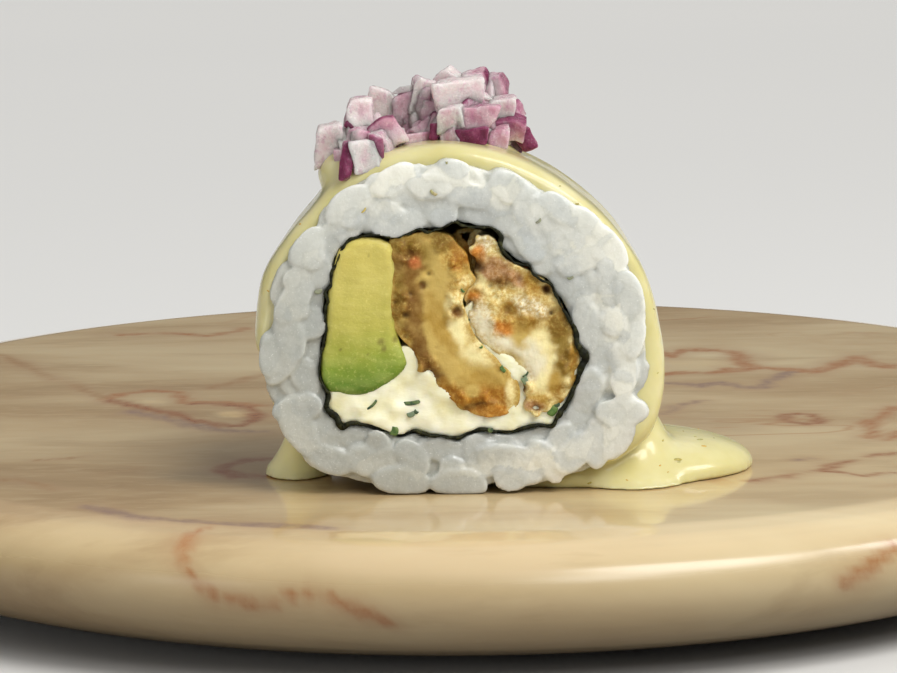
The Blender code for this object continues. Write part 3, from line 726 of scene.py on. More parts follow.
def marble():
    """Polished beige stone with clouds drawn out sideways and red-brown veins, and painted shade darkening
    it towards its underside.
    """
    stone = Surface("board", Roughness=0.16)
    cloud = stone.noise(30, 4, 0.55, (3.0, 1.0, 1.0), 0.4)
    streak = stone.noise(7, 4, 0.6, (5.0, 1.0, 1.0), 0.3)
    fine = stone.noise(1.6, 3, 0.6, (3.0, 1.0, 1.0))
    colour = stone.ramp(cloud, (0.25, (154, 124, 84)), (0.42, (180, 153, 111)),
                        (0.56, (199, 176, 135)), (0.75, (216, 198, 158)))
    # Clouds over the stone, one of them painted shade left of the sauce's foot
    tint = stone.node("Attribute", attribute_name="cloud_and_shade_colour").outputs["Color"]
    colour = stone.mix(stone.value("cloud"), colour, tint)
    colour = stone.mix(stone.span(streak, 0.55, 0.8, 0, 0.5), colour, (152, 124, 84))
    colour = stone.mix(stone.span(fine, 0.5, 0.75, 0, 0.25), colour, (212, 190, 148))
    wild = stone.node("TexNoise", {"Vector": stone.place((2.0, 1.0, 1.0)), "Scale": 1 / (38 * MM),
                                   "Detail": 4.0, "Roughness": 0.55, "Distortion": 0.6}).outputs["Fac"]
    wild = stone.sum("ABSOLUTE", stone.sum("SUBTRACT", wild, 0.5))
    wild = stone.sum("MULTIPLY", stone.span(wild, 0.003, 0.016, 1, 0),
                     stone.span(stone.noise(60, 2), 0.55, 0.65, 0, 0.5))
    colour = stone.mix(wild, colour, SIENNA)
    patchy = stone.span(stone.noise(2.2, 4, 0.65), 0.3, 0.65, 0.45, 1.0)
    colour = stone.mix(stone.sum("MULTIPLY", stone.value("halo"), 0.35), colour, (176, 142, 104))
    vein = stone.node("Attribute", attribute_name="vein_colour").outputs["Color"]
    colour = stone.mix(stone.sum("MULTIPLY", stone.value("vein"), patchy), colour, vein)
    height = stone.node("SeparateXYZ", {0: stone.node("TexCoord").outputs["Object"]}).outputs["Z"]
    # Painted shade: the stone is darker towards its underside, where the light from above falls off
    under = stone.ramp(stone.span(height, 0, BOARD_TOP * MM), (0.2, (122, 118, 110)),
                       (0.45, (176, 172, 166)), (0.75, (226, 224, 220)), (0.95, (255, 255, 255)))
    colour = stone.mix(1.0, colour, under, "MULTIPLY")
    polish = stone.span(height, 0.4 * BOARD_TOP * MM, 0.98 * BOARD_TOP * MM, 0.5, 0.0)
    rough_share = stone.sum("ADD", stone.span(streak, 0.3, 0.8, 0.07, 0.14), polish)
    stone.shader.inputs["Specular IOR Level"].default_value = 0.45
    glow(stone, 0.08, 1.2, 0.8, 0.5)
    return stone.show(Base_Color=colour, Roughness=rough_share,
                      Normal=stone.bump(fine, 0.008))


def make_board():
    flat = [(radius, BOARD_TOP) for radius in np.arange(2.0, BOARD_RIM[0][0], BOARD_STEP)]
    rim = np.array([(radius, share * BOARD_TOP) for radius, share in BOARD_RIM])
    along = np.concatenate(([0], np.cumsum(np.linalg.norm(np.diff(rim, axis=0), axis=1))))
    places = np.linspace(0, along[-1], int(along[-1] / RIM_STEP))
    rim = np.column_stack([np.interp(places, along, rim[:, k]) for k in (0, 1)])
    profile = np.vstack((flat, rim, (60.0, 0.0), (20.0, 0.0)))
    turn = np.linspace(0, 2 * math.pi, BOARD_TURNS, endpoint=False)
    rings = [np.column_stack((r * np.cos(turn), r * np.sin(turn), np.full(BOARD_TURNS, z)))
             for r, z in profile]
    faces = tube_faces(BOARD_TURNS, len(profile))
    faces.append(list(range(BOARD_TURNS)))
    last = (len(profile) - 1) * BOARD_TURNS
    faces.append(list(range(last, last + BOARD_TURNS))[::-1])
    piece = make("board_piece", np.vstack(rings), faces)
    mark_veins(piece)
    dress(piece, marble(), "board")


# Rice


BALL = ball(3)


def grain(draw, centre, lean, tip=0.0, scale=1.0, pitch=0.0):
    """One cooked grain: long, blunt, a little bent and uneven."""
    points = BALL[0].copy()
    points[:, 0] = np.sign(points[:, 0]) * np.abs(points[:, 0]) ** 0.86
    size = GRAIN * scale * draw.uniform(0.92, 1.08, 3)
    lumps = noise(points + draw.uniform(0, 50, 3), 0.9) * 0.06
    points = points * (1 + lumps[:, None]) * size
    bend = draw.uniform(-0.35, 0.35)
    points[:, 2] += bend * (points[:, 0] / size[0]) ** 2
    points = turned(points, ("Z", tip), ("X", pitch), ("Y", -lean))
    spine = turned(np.outer(np.linspace(-0.72, 0.72, SPINE_POINTS), (size[0], 0, 0)),
                   ("Z", tip), ("X", pitch), ("Y", -lean))
    return points + centre, spine + centre


def rim_share(x, z):
    """0 at the nori and 1 at the rice's outside, for a place about the axis."""
    angle, radius = np.degrees(np.arctan2(z, x)) % 360, np.hypot(x, z)
    nori, rim = reach(NORI_TABLE, angle), reach(RICE_REACH, angle)
    return (radius - nori) / (rim - nori)


def face_places(draw, spacing, rows):
    """Middles and leans of grains that fill the cut face between nori and rim.

    With rows, a ring of grains is laid along the rim and one along the nori first.
    """
    places = []
    taken = np.empty((0, 2))

    def try_place(angle, radius, lean):
        nonlocal taken
        middle = radius * np.array((math.cos(math.radians(angle)), math.sin(math.radians(angle))))
        along = np.array((math.cos(math.radians(lean)), math.sin(math.radians(lean))))
        own = middle + np.outer((-1.4, 0, 1.4), along)
        angles = np.degrees(np.arctan2(own[:, 1], own[:, 0])) % 360
        radii = np.hypot(own[:, 0], own[:, 1])
        if np.any(radii < reach(NORI_TABLE, angles) + 1.2):
            return
        if np.any(radii > reach(RICE_REACH, angles) - 1.35):
            return
        if len(taken) and np.min(np.linalg.norm(taken[:, None] - own[None], axis=2)) < spacing:
            return
        taken = np.vstack((taken, own))
        places.append((middle, lean))

    if rows:
        for share in (1.0, 0.0):
            angle = draw.uniform(0, 12)
            while angle < 360:
                rim, nori = reach(RICE_REACH, angle) - 1.68, reach(NORI_TABLE, angle) + 1.75
                radius = nori + (rim - nori) * share
                try_place(angle, radius, angle + 90 + draw.uniform(-14, 14))
                angle += math.degrees(5.2 / radius) * draw.uniform(0.55, 0.75)
    for _ in range(FACE_TRIES):
        angle = draw.uniform(0, 360)
        radius = draw.uniform(reach(NORI_TABLE, angle) + 1.4, reach(RICE_REACH, angle) - 1.4)
        try_place(angle, radius, angle + 90 + draw.normal(0, 50))
    return places


def face_grains(draw, y, inward):
    """Layers of grains behind a cut face; inward is 1 at the front and -1 at the back."""
    grains = []
    for number, (depth, spacing) in enumerate(FACE_LAYERS):
        for middle, lean in face_places(draw, spacing, number == 0):
            sunk = depth + INNER_SUNK * (1 - smooth_step(0.3, 0.55, rim_share(*middle)))
            centre = (ROLL_X + middle[0], y + inward * (sunk + draw.uniform(-0.1, 0.2)),
                      ROLL_Z + middle[1])
            tip = draw.uniform(40, 80) if draw.uniform() < END_ON else draw.uniform(-12, 12)
            points, spine = grain(draw, centre, lean, tip, draw.uniform(0.9, 1.2))
            ahead = inward * (centre[1] - points[:, 1])
            tilt = draw.normal(0, 0.07, 2)
            cut = GRAIN_CUT + (points[:, (0, 2)] - (centre[0], centre[2])) @ tilt
            ahead = cut - np.log1p(np.exp((cut - ahead) / CUT_SOFT)) * CUT_SOFT
            points[:, 1] = centre[1] - inward * ahead
            grains.append((points, spine))
    return grains


def flank_grains(draw):
    """Grains that show on the outside of the roll."""
    grains = []
    for y in np.arange(FACE_Y + 4.0, BACK_Y - 3.0, 3.0):
        angle = draw.uniform(0, 8)
        while angle < 360:
            radius = reach(RICE_REACH, angle) - 1.75
            place = AXIS + (radius * math.cos(math.radians(angle)), y + draw.uniform(-0.6, 0.6),
                            radius * math.sin(math.radians(angle)))
            grains.append(grain(draw, place, angle + 90, draw.uniform(-55, 55), 0.95))
            angle += math.degrees(4.2 / radius) * draw.uniform(0.9, 1.15)
    return grains


def rice_core(front, back):
    """Packed rice under the grains, with the nori's way through it."""
    angles = np.arange(0, 360, 1.5)
    rings = []
    for depth, outer in ((front, 1), (back, 1), (back, 0), (front, 0)):
        radius = reach(RICE_REACH, angles) - 0.7 if outer else reach(NORI_TABLE, angles) + 0.4
        turn = np.radians(angles)
        z = np.maximum(radius * np.sin(turn), 0.6 - ROLL_UP)
        rings.append(np.column_stack((ROLL_X + radius * np.cos(turn), np.full(len(turn), depth),
                                      ROLL_Z + z)))
    return np.vstack(rings), tube_faces(len(angles), 4, closed=True)


def soft_limit(values, limit, softness):
    """Values held below a limit, bent softly over the last stretch."""
    over = values - (limit - softness)
    return np.where(over > 0, limit - softness + softness * (1 - np.exp(-over / softness)), values)


def rice_material():
    paint = Surface("rice", Roughness=0.34, IOR=1.38)
    tone = paint.value("tone")
    crease_shade = paint.value("crease_shade")
    cloud = paint.noise(2.4, 3, 0.6)
    colour = paint.ramp(tone, (0.0, (196, 199, 195)), (0.5, (212, 213, 205)), (1.0, (227, 226, 214)))
    colour = paint.mix(paint.span(cloud, 0.35, 0.7, 0, 0.45), colour, (230, 230, 221))
    inner = paint.sum("ADD", paint.value("rim"), paint.span(cloud, 0.3, 0.7, -0.12, 0.12))
    colour = paint.mix(paint.span(inner, 0.3, 0.55, 0.6, 0), colour, (182, 186, 184))
    # Painted shade: rice darker the deeper it lies behind a cut face, in the hollows between grains
    colour = paint.mix(paint.span(paint.value("sunk"), 0.3, 0.9, 0, 0.5), colour, (176, 178, 168))
    # Painted shade in the creases between grains
    colour = paint.mix(paint.span(crease_shade, 0.5, 1, 0, 0.2), colour, (166, 167, 152))
    # Painted shade: rice darker towards the lower left, away from the light
    colour = paint.mix(paint.span(paint.value("dim"), 0, 1, 0, 0.6), colour, (158, 160, 152))
    speck = paint.span(paint.noise(0.25, 2, 0.6), 0.64, 0.72, 0, 0.4)
    colour = paint.mix(speck, colour, (246, 246, 242))
    wet = paint.span(paint.noise(0.7, 2), 0.35, 0.7, 0.1, 0.4)
    fine = paint.bump(paint.noise(0.4, 3, 0.6), 0.035)
    relief = paint.bump(paint.noise(1.2, 3, 0.5), 0.12, fine)
    glow(paint, 0.8, 2.0, 2.1, 2.2)
    return paint.show(Base_Color=colour, Roughness=wet, Normal=relief)


def make_rice():
    pieces = []
    draw = np.random.default_rng(21)
    front = face_grains(draw, FACE_Y, 1)
    back = face_grains(draw, BACK_Y, -1)
    flank = flank_grains(draw)
    split = FACE_Y + FRONT_SLAB
    near = [own for own in flank if own[0][:, 1].min() < split + 0.6]
    parts = {
        "rice_front": (front + near, 0.235, FACE_Y + CORE_SUNK, split + 0.5),
        "rice_rest": (back + flank, 0.42, split - 1.5, BACK_Y - CORE_SUNK),
    }
    material = rice_material()
    for name, (grains, voxel, low, high) in parts.items():
        closed = [(points, BALL[1]) for points, _ in grains] + [rice_core(low, high)]
        piece = skinned(name, closed, voxel, 3)
        points = points_of(piece)
        spines = np.vstack([spine for _, spine in grains])
        tree = kdtree.KDTree(len(spines))
        for number, place in enumerate(spines):
            tree.insert(place, number // SPINE_POINTS)
        tree.balance()
        owner = np.zeros(len(points), int)
        # How near a point lies to where two grains meet, for painted shade in the creases
        crease_shade = np.zeros(len(points))
        for number, place in enumerate(points):
            found = tree.find_n(place, 9)
            owner[number] = found[0][1]
            other = next((d for _, who, d in found if who != owner[number]), 9.0)
            crease_shade[number] = 1 - min(1.0, (other - found[0][2]) / 0.55)
        tones = draw.uniform(0, 1, len(grains))
        relief = 0.05 * rough(points, 1.4, 3) + 0.03 * noise(points, 0.55, 9)
        points += normals_of(piece) * relief[:, None]
        angle, radius = polar(points)
        pressed = np.maximum(1, (reach(NORI_TABLE, angle) + NORI_GAP) / radius)
        points[:, 0] = ROLL_X + (points[:, 0] - ROLL_X) * pressed
        points[:, 2] = ROLL_Z + (points[:, 2] - ROLL_Z) * pressed
        taper = 1 - REAR_TAPER * smooth_step(8, 25, points[:, 1] - FACE_Y)
        points[:, 0] = ROLL_X + (points[:, 0] - ROLL_X) * taper
        points[:, 2] = BOARD_TOP + (points[:, 2] - BOARD_TOP) * taper
        points[:, 1] = -soft_limit(-points[:, 1], -FACE_Y + 0.1, 0.8)
        points[:, 1] = soft_limit(points[:, 1], BACK_Y + 0.1, 0.8)
        points[:, 2] = -soft_limit(-points[:, 2], -BOARD_TOP - 0.05, 0.3)
        reshape(piece, points)
        mark(piece, "tone", tones[owner])
        mark(piece, "crease_shade", crease_shade)
        mark(piece, "rim", rim_share(points[:, 0] - ROLL_X, points[:, 2] - ROLL_Z))
        # Share of painted shade, rising towards the roll's lower left
        low_left = 0.8 * (ROLL_X - points[:, 0]) + 0.6 * (ROLL_Z - points[:, 2])
        mark(piece, "dim", smooth_step(0, 17, low_left))
        # Depth behind the nearer cut face, for painted shade in the hollows
        mark(piece, "sunk", np.clip(np.minimum(points[:, 1] - FACE_Y, BACK_Y - points[:, 1]) / 2, 0, 1))
        pieces.append(dress(piece, material, "rice"))
    return pieces


# Nori


def make_nori():
    """Crinkled sheet, bunched up in places, its edge standing out between rice and fillings."""
    count = len(NORI_CURVE)
    ahead = np.roll(NORI_CURVE, -1, 0) - np.roll(NORI_CURVE, 1, 0)
    ahead /= np.linalg.norm(ahead, axis=1)[:, None]
    across = np.column_stack((ahead[:, 1], -ahead[:, 0]))
    centre = NORI_CURVE.mean(0)
    across *= np.sign(np.sum(across * (NORI_CURVE - centre), axis=1))[:, None]
    angles = np.degrees(np.arctan2(NORI_CURVE[:, 1], NORI_CURVE[:, 0])) % 360

    def near(spots):
        total = np.zeros(count)
        for angle, spread, amount in spots:
            turn = (angles - angle + 180) % 360 - 180
            total += amount * np.exp(-(turn / spread) ** 2)
        return total

    def ring(y, side, wave):
        flat = np.column_stack((NORI_CURVE[:, 0], np.full(count, y), NORI_CURVE[:, 1]))
        ragged = np.clip(1.3 * rough(flat + 40, 1.1, 5), -1.2, 1.2)
        thick = NORI_THICK * (1 + 0.6 * ragged) + near(NORI_BUNCHED) * (0.75 + 0.5 * noise(flat, 0.9, 9))
        shift = 0.15 * rough(flat, 2.2, 2) + 0.12 * noise(flat, 0.6, 3) + side * thick / 2
        out = NORI_CURVE + across * shift[:, None]
        depth = y + wave * (near(NORI_SUNK) + 0.3 * rough(flat, 0.8, 8))
        return np.column_stack((ROLL_X + out[:, 0], depth, ROLL_Z + out[:, 1]))

    front, back = FACE_Y + 0.5, BACK_Y - 0.6
    outer = [(front, 1, 1), (front + 1.6, 1, 0), (FACE_Y + 8, 1, 0), (back - 4, 1, 0), (back, 1, -1)]
    steps = outer + [(y, -side, wave) for y, side, wave in reversed(outer)]
    rings = [ring(*step) for step in steps]
    piece = make("nori_piece", np.vstack(rings), tube_faces(count, len(steps), closed=True))
    paint = Surface("nori", Roughness=0.6, IOR=1.25)
    colour = paint.ramp(paint.noise(0.9, 4, 0.6), (0.3, (14, 15, 7)), (0.55, (32, 34, 17)),
                        (0.75, (70, 70, 36)))
    piece_material = paint.show(Base_Color=colour, Normal=paint.bump(paint.noise(0.35, 3, 0.7), 0.09))
    return dress(piece, piece_material, "nori")


# Fillings


def filling(node, loop, voxel, extras=(), passes=2):
    """Strip that runs through the roll with its ends near the cut faces."""
    sunk = DEPTHS[node]
    parts = [prism(loop, FACE_Y + sunk, BACK_Y - sunk)]
    return skinned(node + "_piece", parts + list(extras), voxel, passes)


def end_share(points, depth=1.6):
    """1 at either end of a filling and 0 further in."""
    inward = np.minimum(points[:, 1] - FACE_Y, BACK_Y - points[:, 1])
    return 1 - smooth_step(depth, depth + 1.2, inward)


def push(points, amount):
    """Points moved outwards along the roll's axis, at both ends, by an amount."""
    side = np.where(points[:, 1] < (FACE_Y + BACK_Y) / 2, -1.0, 1.0)
    points[:, 1] += side * amount * end_share(points)


# Bruises of the avocado as x, z and radius
BRUISES = ((-14.0, -2.4, 0.22), (-12.3, -3.4, 0.2), (-9.0, -1.5, 0.55), (-8.7, -2.3, 0.4),
           (-7.3, -1.2, 0.45), (-10.6, -3.0, 0.12), (-10.4, 9.2, 0.2))


def make_avocado():
    loop = smooth_loop(AVOCADO_OUTLINE, 240)
    piece = filling("avocado", loop, 0.3)
    points = points_of(piece)
    x, z = points[:, 0] - ROLL_X, points[:, 2] - ROLL_Z
    streak = noise(np.column_stack((x * 0.25, points[:, 1], z + 0.12 * x)), 0.55, 4)
    notch = np.exp(-((x + 7.3) / 0.45) ** 2 - ((z + 1.3) / 1.4) ** 2)
    edge = 1 - smooth_step(0.0, 0.9, edge_distance(points, loop))
    push(points, 0.16 * noise(points, 3.2, 2) + 0.03 * streak - 0.25 * notch - 0.25 * edge)
    reshape(piece, points)
    height = z - 0.1 * (x + 11) + 0.4 * noise(points, 2.2, 6)
    mark(piece, "ripe", np.clip((height + 9.5) / 20, 0, 1))
    mark(piece, "streak", 0.5 + 0.5 * streak)
    specks = np.zeros(len(points))
    for sx, sz, radius in BRUISES:
        specks = np.maximum(specks, np.exp(-((x - sx) ** 2 + (z - sz) ** 2) / radius ** 2))
    mark(piece, "speck", specks * (0.6 + 0.4 * noise(points, 0.3, 8)))
    paint = Surface("avocado", Roughness=0.4, IOR=1.42)
    ripe = paint.sum("ADD", paint.value("ripe"), paint.span(paint.noise(1.2, 3), 0.3, 0.7, -0.02, 0.02))
    colour = paint.ramp(ripe, (0.03, (56, 92, 24)), (0.09, (86, 122, 34)), (0.17, (108, 138, 42)),
                        (0.25, (132, 154, 50)), (0.36, (164, 170, 68)), (0.5, (188, 182, 86)),
                        (0.75, (202, 190, 100)), (1.0, (208, 192, 100)))
    colour = paint.mix(paint.span(paint.value("streak"), 0.3, 0.8, 0, 0.1), colour, (240, 232, 150))
    grain_share = paint.span(paint.noise(0.35, 3, 0.6), 0.55, 0.75, 0, 0.35)
    colour = paint.mix(grain_share, colour, (230, 222, 138))
    blotch = paint.span(paint.noise(2.4, 3, 0.55, (1, 1, 2.2)), 0.38, 0.66, 0, 0.4)
    colour = paint.mix(blotch, colour, paint.mix(1.0, colour, (222, 222, 196), "MULTIPLY"))
    colour = paint.mix(paint.span(paint.value("speck"), 0.12, 0.6, 0, 0.75), colour, (112, 98, 44))
    glow(paint, 0.25, 1.4, 1.2, 0.4)
    relief = paint.bump(paint.noise(0.4, 4, 0.65, (1.4, 1, 1)), 0.09)
    dress(piece, paint.show(Base_Color=colour, Normal=relief), "avocado")


def make_cheese():
    angles = np.arange(206, 350, 2.0)
    radius = reach(NORI_TABLE, angles) - 0.1
    low = np.column_stack((radius * np.cos(np.radians(angles)), radius * np.sin(np.radians(angles))))
    loop = np.vstack((low, CHEESE_TOP))
    piece = filling("cream_cheese", loop, 0.37)
    points = points_of(piece)
    smear = noise(points * (0.35, 1, 1), 1.0, 3)
    behind = np.zeros(len(points))
    for outline in (LEFT_OUTLINE, RIGHT_OUTLINE):
        own = smooth_loop(outline, 200)
        within = inside(points, own) * smooth_step(0.3, 1.3, edge_distance(points, own))
        behind = np.maximum(behind, within)
    relief = 0.35 * noise(points, 3.5, 1) + 0.26 * noise(points, 1.3, 2) + 0.14 * smear
    push(points, relief + 0.08 * noise(points, 0.6, 5) - 1.1 * behind)
    reshape(piece, points)
    paint = Surface("cream_cheese", Roughness=0.42, IOR=1.45)
    colour = paint.ramp(paint.noise(2.8, 4, 0.55), (0.3, (232, 226, 178)), (0.5, (240, 237, 204)),
                        (0.7, (245, 243, 220)))
    colour = paint.mix(paint.span(paint.noise(1.1, 3), 0.6, 0.75, 0, 0.3), colour, (214, 214, 146))
    glow(paint, 0.3, 1.6, 1.3, 0.8)
    relief = paint.bump(paint.noise(0.8, 4, 0.6, (2.5, 1, 1)), 0.08)
    return dress(piece, paint.show(Base_Color=colour, Normal=relief), "cream_cheese")


# Fried fillets: named colours, and patches of them about the axis
DARK = (66, 38, 10)
BROWN = (118, 80, 22)
GOLD = (170, 120, 34)
OLIVE = (134, 108, 38)
TAN = (172, 138, 58)
PALE = (196, 168, 92)
CREAM = (240, 228, 170)
WHITE = (232, 226, 198)
ORANGE = (214, 146, 62)
HONEY = (208, 152, 66)
RED = (182, 104, 54)
PINK = (186, 148, 112)

# Patches as x, z, half width, half height, lean in degrees and colour, laid one over the other
LEFT_PATCHES = (
    (-2.2, 4.5, 2.8, 7.0, 0, PALE), (0.8, -4.5, 3.6, 2.6, -40, PALE), (-4.6, 9.6, 3.0, 1.8, 0, OLIVE),
    (-5.6, 8.0, 1.7, 1.7, 0, BROWN), (-4.9, 8.1, 0.75, 0.6, 0, RED), (-1.4, 10.4, 1.8, 1.4, 0, OLIVE),
    (0.5, 8.6, 1.5, 1.9, 0, GOLD), (-6.6, 3.6, 0.8, 3.6, 0, OLIVE), (-5.0, 2.6, 1.3, 3.8, 8, BROWN),
    (-4.2, -1.8, 1.1, 2.6, 25, BROWN), (-3.2, -4.8, 1.3, 2.4, 35, BROWN), (-3.2, -5.4, 0.7, 1.3, 35, DARK),
    (-1.8, 0.2, 1.5, 3.4, 20, TAN), (1.3, 5.9, 1.1, 0.8, 0, CREAM), (0.3, 3.6, 1.2, 1.6, 10, CREAM),
    (0.6, 0.2, 1.1, 2.6, 22, CREAM), (2.6, -3.0, 1.9, 1.5, -40, CREAM), (0.2, -5.0, 1.4, 0.9, -35, PALE),
    (0.2, 2.0, 0.7, 0.6, 0, BROWN), (3.6, -6.8, 3.2, 1.8, -20, TAN), (0.2, -8.2, 2.4, 1.1, -35, GOLD),
    (4.6, -8.4, 2.6, 1.5, 0, GOLD), (3.2, -9.6, 2.6, 0.5, 5, BROWN), (4.4, -10.2, 1.9, 0.8, 5, HONEY),
    (2.1, -7.6, 0.9, 0.7, 0, PALE), (6.8, -8.0, 0.7, 1.9, 5, CREAM), (-3.9, 5.4, 0.5, 0.5, 0, BROWN),
)
RIGHT_PATCHES = (
    (8.5, 0.5, 5.0, 6.0, 0, PALE), (3.8, 10.4, 0.9, 1.3, 0, WHITE), (3.0, 9.0, 0.9, 1.0, 0, ORANGE),
    (5.1, 8.2, 1.6, 1.0, -30, PINK), (5.8, 6.4, 2.4, 1.4, -25, BROWN), (4.4, 7.0, 1.6, 0.9, 0, PINK),
    (7.6, 6.0, 1.8, 0.9, -30, PINK), (9.6, 5.2, 1.6, 0.8, -30, TAN), (9.4, 5.9, 1.4, 0.7, -35, TAN),
    (11.1, 4.7, 0.8, 0.6, -30, BROWN), (2.4, 4.2, 1.2, 1.0, 0, GOLD), (2.2, 4.0, 0.6, 0.5, 0, ORANGE),
    (6.4, 3.4, 2.6, 1.6, 0, CREAM), (9.4, 2.6, 2.4, 1.2, -20, WHITE), (6.5, 2.4, 1.0, 1.0, 0, TAN),
    (5.7, 0.0, 1.25, 1.1, 0, ORANGE), (3.2, 1.2, 1.3, 1.9, 15, WHITE), (5.2, -1.8, 2.4, 1.1, -20, WHITE),
    (9.0, 0.6, 1.6, 1.2, 0, TAN), (10.6, -1.6, 1.4, 2.2, 0, CREAM), (9.6, -4.2, 1.8, 2.2, 0, WHITE),
    (12.6, -0.4, 1.4, 3.0, 10, OLIVE), (13.2, -4.6, 1.3, 3.2, 0, OLIVE), (12.2, -6.6, 1.2, 2.4, -15, TAN),
    (13.2, -3.4, 1.0, 3.4, 5, OLIVE), (14.4, -4.0, 0.5, 3.6, 0, TAN), (10.4, -8.8, 1.6, 0.9, 0, PALE),
    (9.4, -9.6, 1.4, 0.7, 0, PINK), (7.9, -7.2, 0.5, 2.0, 10, BROWN), (12.9, -9.2, 0.9, 0.9, 0, TAN),
)
# Holes as x, z, radius and depth
LEFT_PITS = (
    (-3.9, 5.4, 0.55, 0.5), (-3.1, 6.8, 0.35, 0.6), (-6.0, 1.8, 0.45, 0.9), (-7.2, 3.4, 0.3, 0.5),
    (-2.35, -2.3, 0.2, 0.3), (-5.4, 4.4, 0.4, 0.5), (-6.0, -0.8, 0.4, 0.5), (0.2, 2.2, 0.6, 0.5),
    (-5.2, 9.6, 0.5, 0.4), (3.0, -9.5, 0.8, 0.5), (-3.0, -5.8, 0.6, 0.4),
)
RIGHT_PITS = (
    (1.95, -0.4, 0.5, 1.2), (11.7, 1.8, 0.25, 0.8), (11.2, 4.7, 0.5, 1.0), (6.4, 2.3, 0.75, 0.55),
    (7.7, -6.1, 0.5, 1.1), (8.3, -7.4, 0.45, 1.1), (7.9, -8.9, 0.45, 1.0), (6.7, -3.6, 0.9, 0.35),
    (2.0, 6.4, 1.0, 1.4), (2.6, 7.6, 0.9, 1.8), (1.9, 2.9, 0.6, 1.0), (9.9, -9.9, 0.5, 0.8),
    (10.4, -1.6, 0.2, 0.3), (7.9, 6.0, 0.5, 0.5), (4.3, 5.2, 0.4, 0.5),
)
# Where the crust is craggy rather than smooth flesh: x, z and radius
LEFT_CRAGS = ((0.6, 9.0, 2.2), (-6.9, 3.0, 1.9), (-6.4, -1.0, 1.4), (1.0, 5.0, 1.7), (-3.8, -5.0, 1.8),
              (4.4, -9.6, 2.6), (-5.6, 9.6, 1.8), (0.4, 2.4, 1.2), (-0.4, -8.6, 1.8), (-1.4, 11.2, 1.6))
RIGHT_CRAGS = ((3.8, 10.0, 2.0), (6.0, 7.0, 2.6), (10.0, 5.4, 2.4), (6.2, 3.0, 3.2), (9.4, 2.4, 2.4),
               (12.6, 0.6, 1.8), (14.4, -4.0, 1.7), (13.4, -8.4, 1.8), (10.2, -9.6, 1.8), (2.6, 3.6, 1.4),
               (8.2, -7.0, 1.2), (5.6, 0.2, 1.4))


def painted(points, base, patches):
    """Colour of each point: patches with soft, ragged borders over a base colour."""
    x, z = points[:, 0] - ROLL_X, points[:, 2] - ROLL_Z
    flat = np.column_stack((x, np.zeros(len(x)), z))
    ragged = 0.36 * rough(flat, 1.5, 31, 4)
    colours = np.tile(linear(base), (len(points), 1))
    for px, pz, wide, high, lean, colour in patches:
        turn = math.radians(lean)
        u = ((x - px) * math.cos(turn) + (z - pz) * math.sin(turn)) / wide
        v = ((z - pz) * math.cos(turn) - (x - px) * math.sin(turn)) / high
        share = 1 - smooth_step(0.5, 1.45, np.hypot(u, v) + ragged)
        colours += share[:, None] * (linear(colour) - colours)
    return colours


CRUMB_OUT = 0.25                         # how far a crumb's middle may lie outside its fillet


def crumbs(draw, spots, count, loop):
    """Crisp crumbs of many sizes on the ends of a fillet, about the craggy spots."""
    shape, faces = ball(2)
    parts = []
    for _ in range(count):
        sx, sz, spread = spots[draw.integers(len(spots))]
        turn, out = draw.uniform(0, 2 * math.pi), spread * math.sqrt(draw.uniform())
        radius = 0.22 + 0.62 * draw.uniform() ** 1.5
        x, z = sx + out * math.cos(turn), sz + out * math.sin(turn)
        place = np.array([(ROLL_X + x, 0.0, ROLL_Z + z)])
        outside = edge_distance(place, loop)[0] * (1 - inside(place, loop)[0])
        room = reach(NORI_TABLE, math.degrees(math.atan2(z, x))) - 0.5 - radius
        if outside > CRUMB_OUT or math.hypot(x, z) > room:
            continue
        for y in (FACE_Y + 0.75, BACK_Y - 0.75):
            points = shape * (1 + 0.3 * noise(shape + draw.uniform(0, 40, 3), 0.7))[:, None]
            points = points * radius * draw.uniform(0.6, 1.15, 3)
            centre = (ROLL_X + x, y + draw.uniform(-0.25, 0.25), ROLL_Z + z)
            parts.append((points + centre, faces))
    return parts


def fillet_material():
    paint = Surface("fillet", Roughness=0.6, IOR=1.33)
    colour = paint.node("Attribute", attribute_name="paint").outputs["Color"]
    crag = paint.value("crag")
    pit_shade = paint.value("pit_shade")
    fine = paint.noise(0.42, 4, 0.65)
    mid = paint.noise(1.1, 4, 0.6)
    colour = paint.mix(paint.span(mid, 0.35, 0.7, 0.0, 0.2), colour, (222, 194, 118))
    # Painted shade and painted highlight: darker and bright gold specks on the craggy crust
    crumb_shade = paint.mix(1.0, colour, (222, 200, 158), "MULTIPLY")
    colour = paint.mix(paint.sum("MULTIPLY", paint.span(fine, 0.62, 0.42), crag), colour, crumb_shade)
    crumb_highlight = paint.sum("MULTIPLY", paint.span(fine, 0.6, 0.78, 0, 0.6), crag)
    colour = paint.mix(crumb_highlight, colour, (222, 186, 104))
    # Painted shade in the holes of the crust
    colour = paint.mix(paint.span(pit_shade, 0.15, 0.9, 0, 0.85), colour, (70, 40, 16))
    glow(paint, 0.15, 1.2, 0.7, 0.3)
    relief = paint.bump(paint.noise(0.3, 4, 0.65), 0.05)
    relief = paint.bump(mid, 0.12, relief)
    wet = paint.span(paint.noise(1.5, 2), 0.4, 0.65, 0.5, 0.75)
    return paint.show(Base_Color=colour, Normal=relief, Roughness=wet)


# The fillets part at the top near both ends; further in they meet
MEETING = ((0.2, 11.6), (1.6, 12.0), (3.6, 11.6), (3.4, 8.0), (2.6, 5.0), (1.0, 5.0), (0.6, 8.0))
MEETING_DEPTH = 4.5


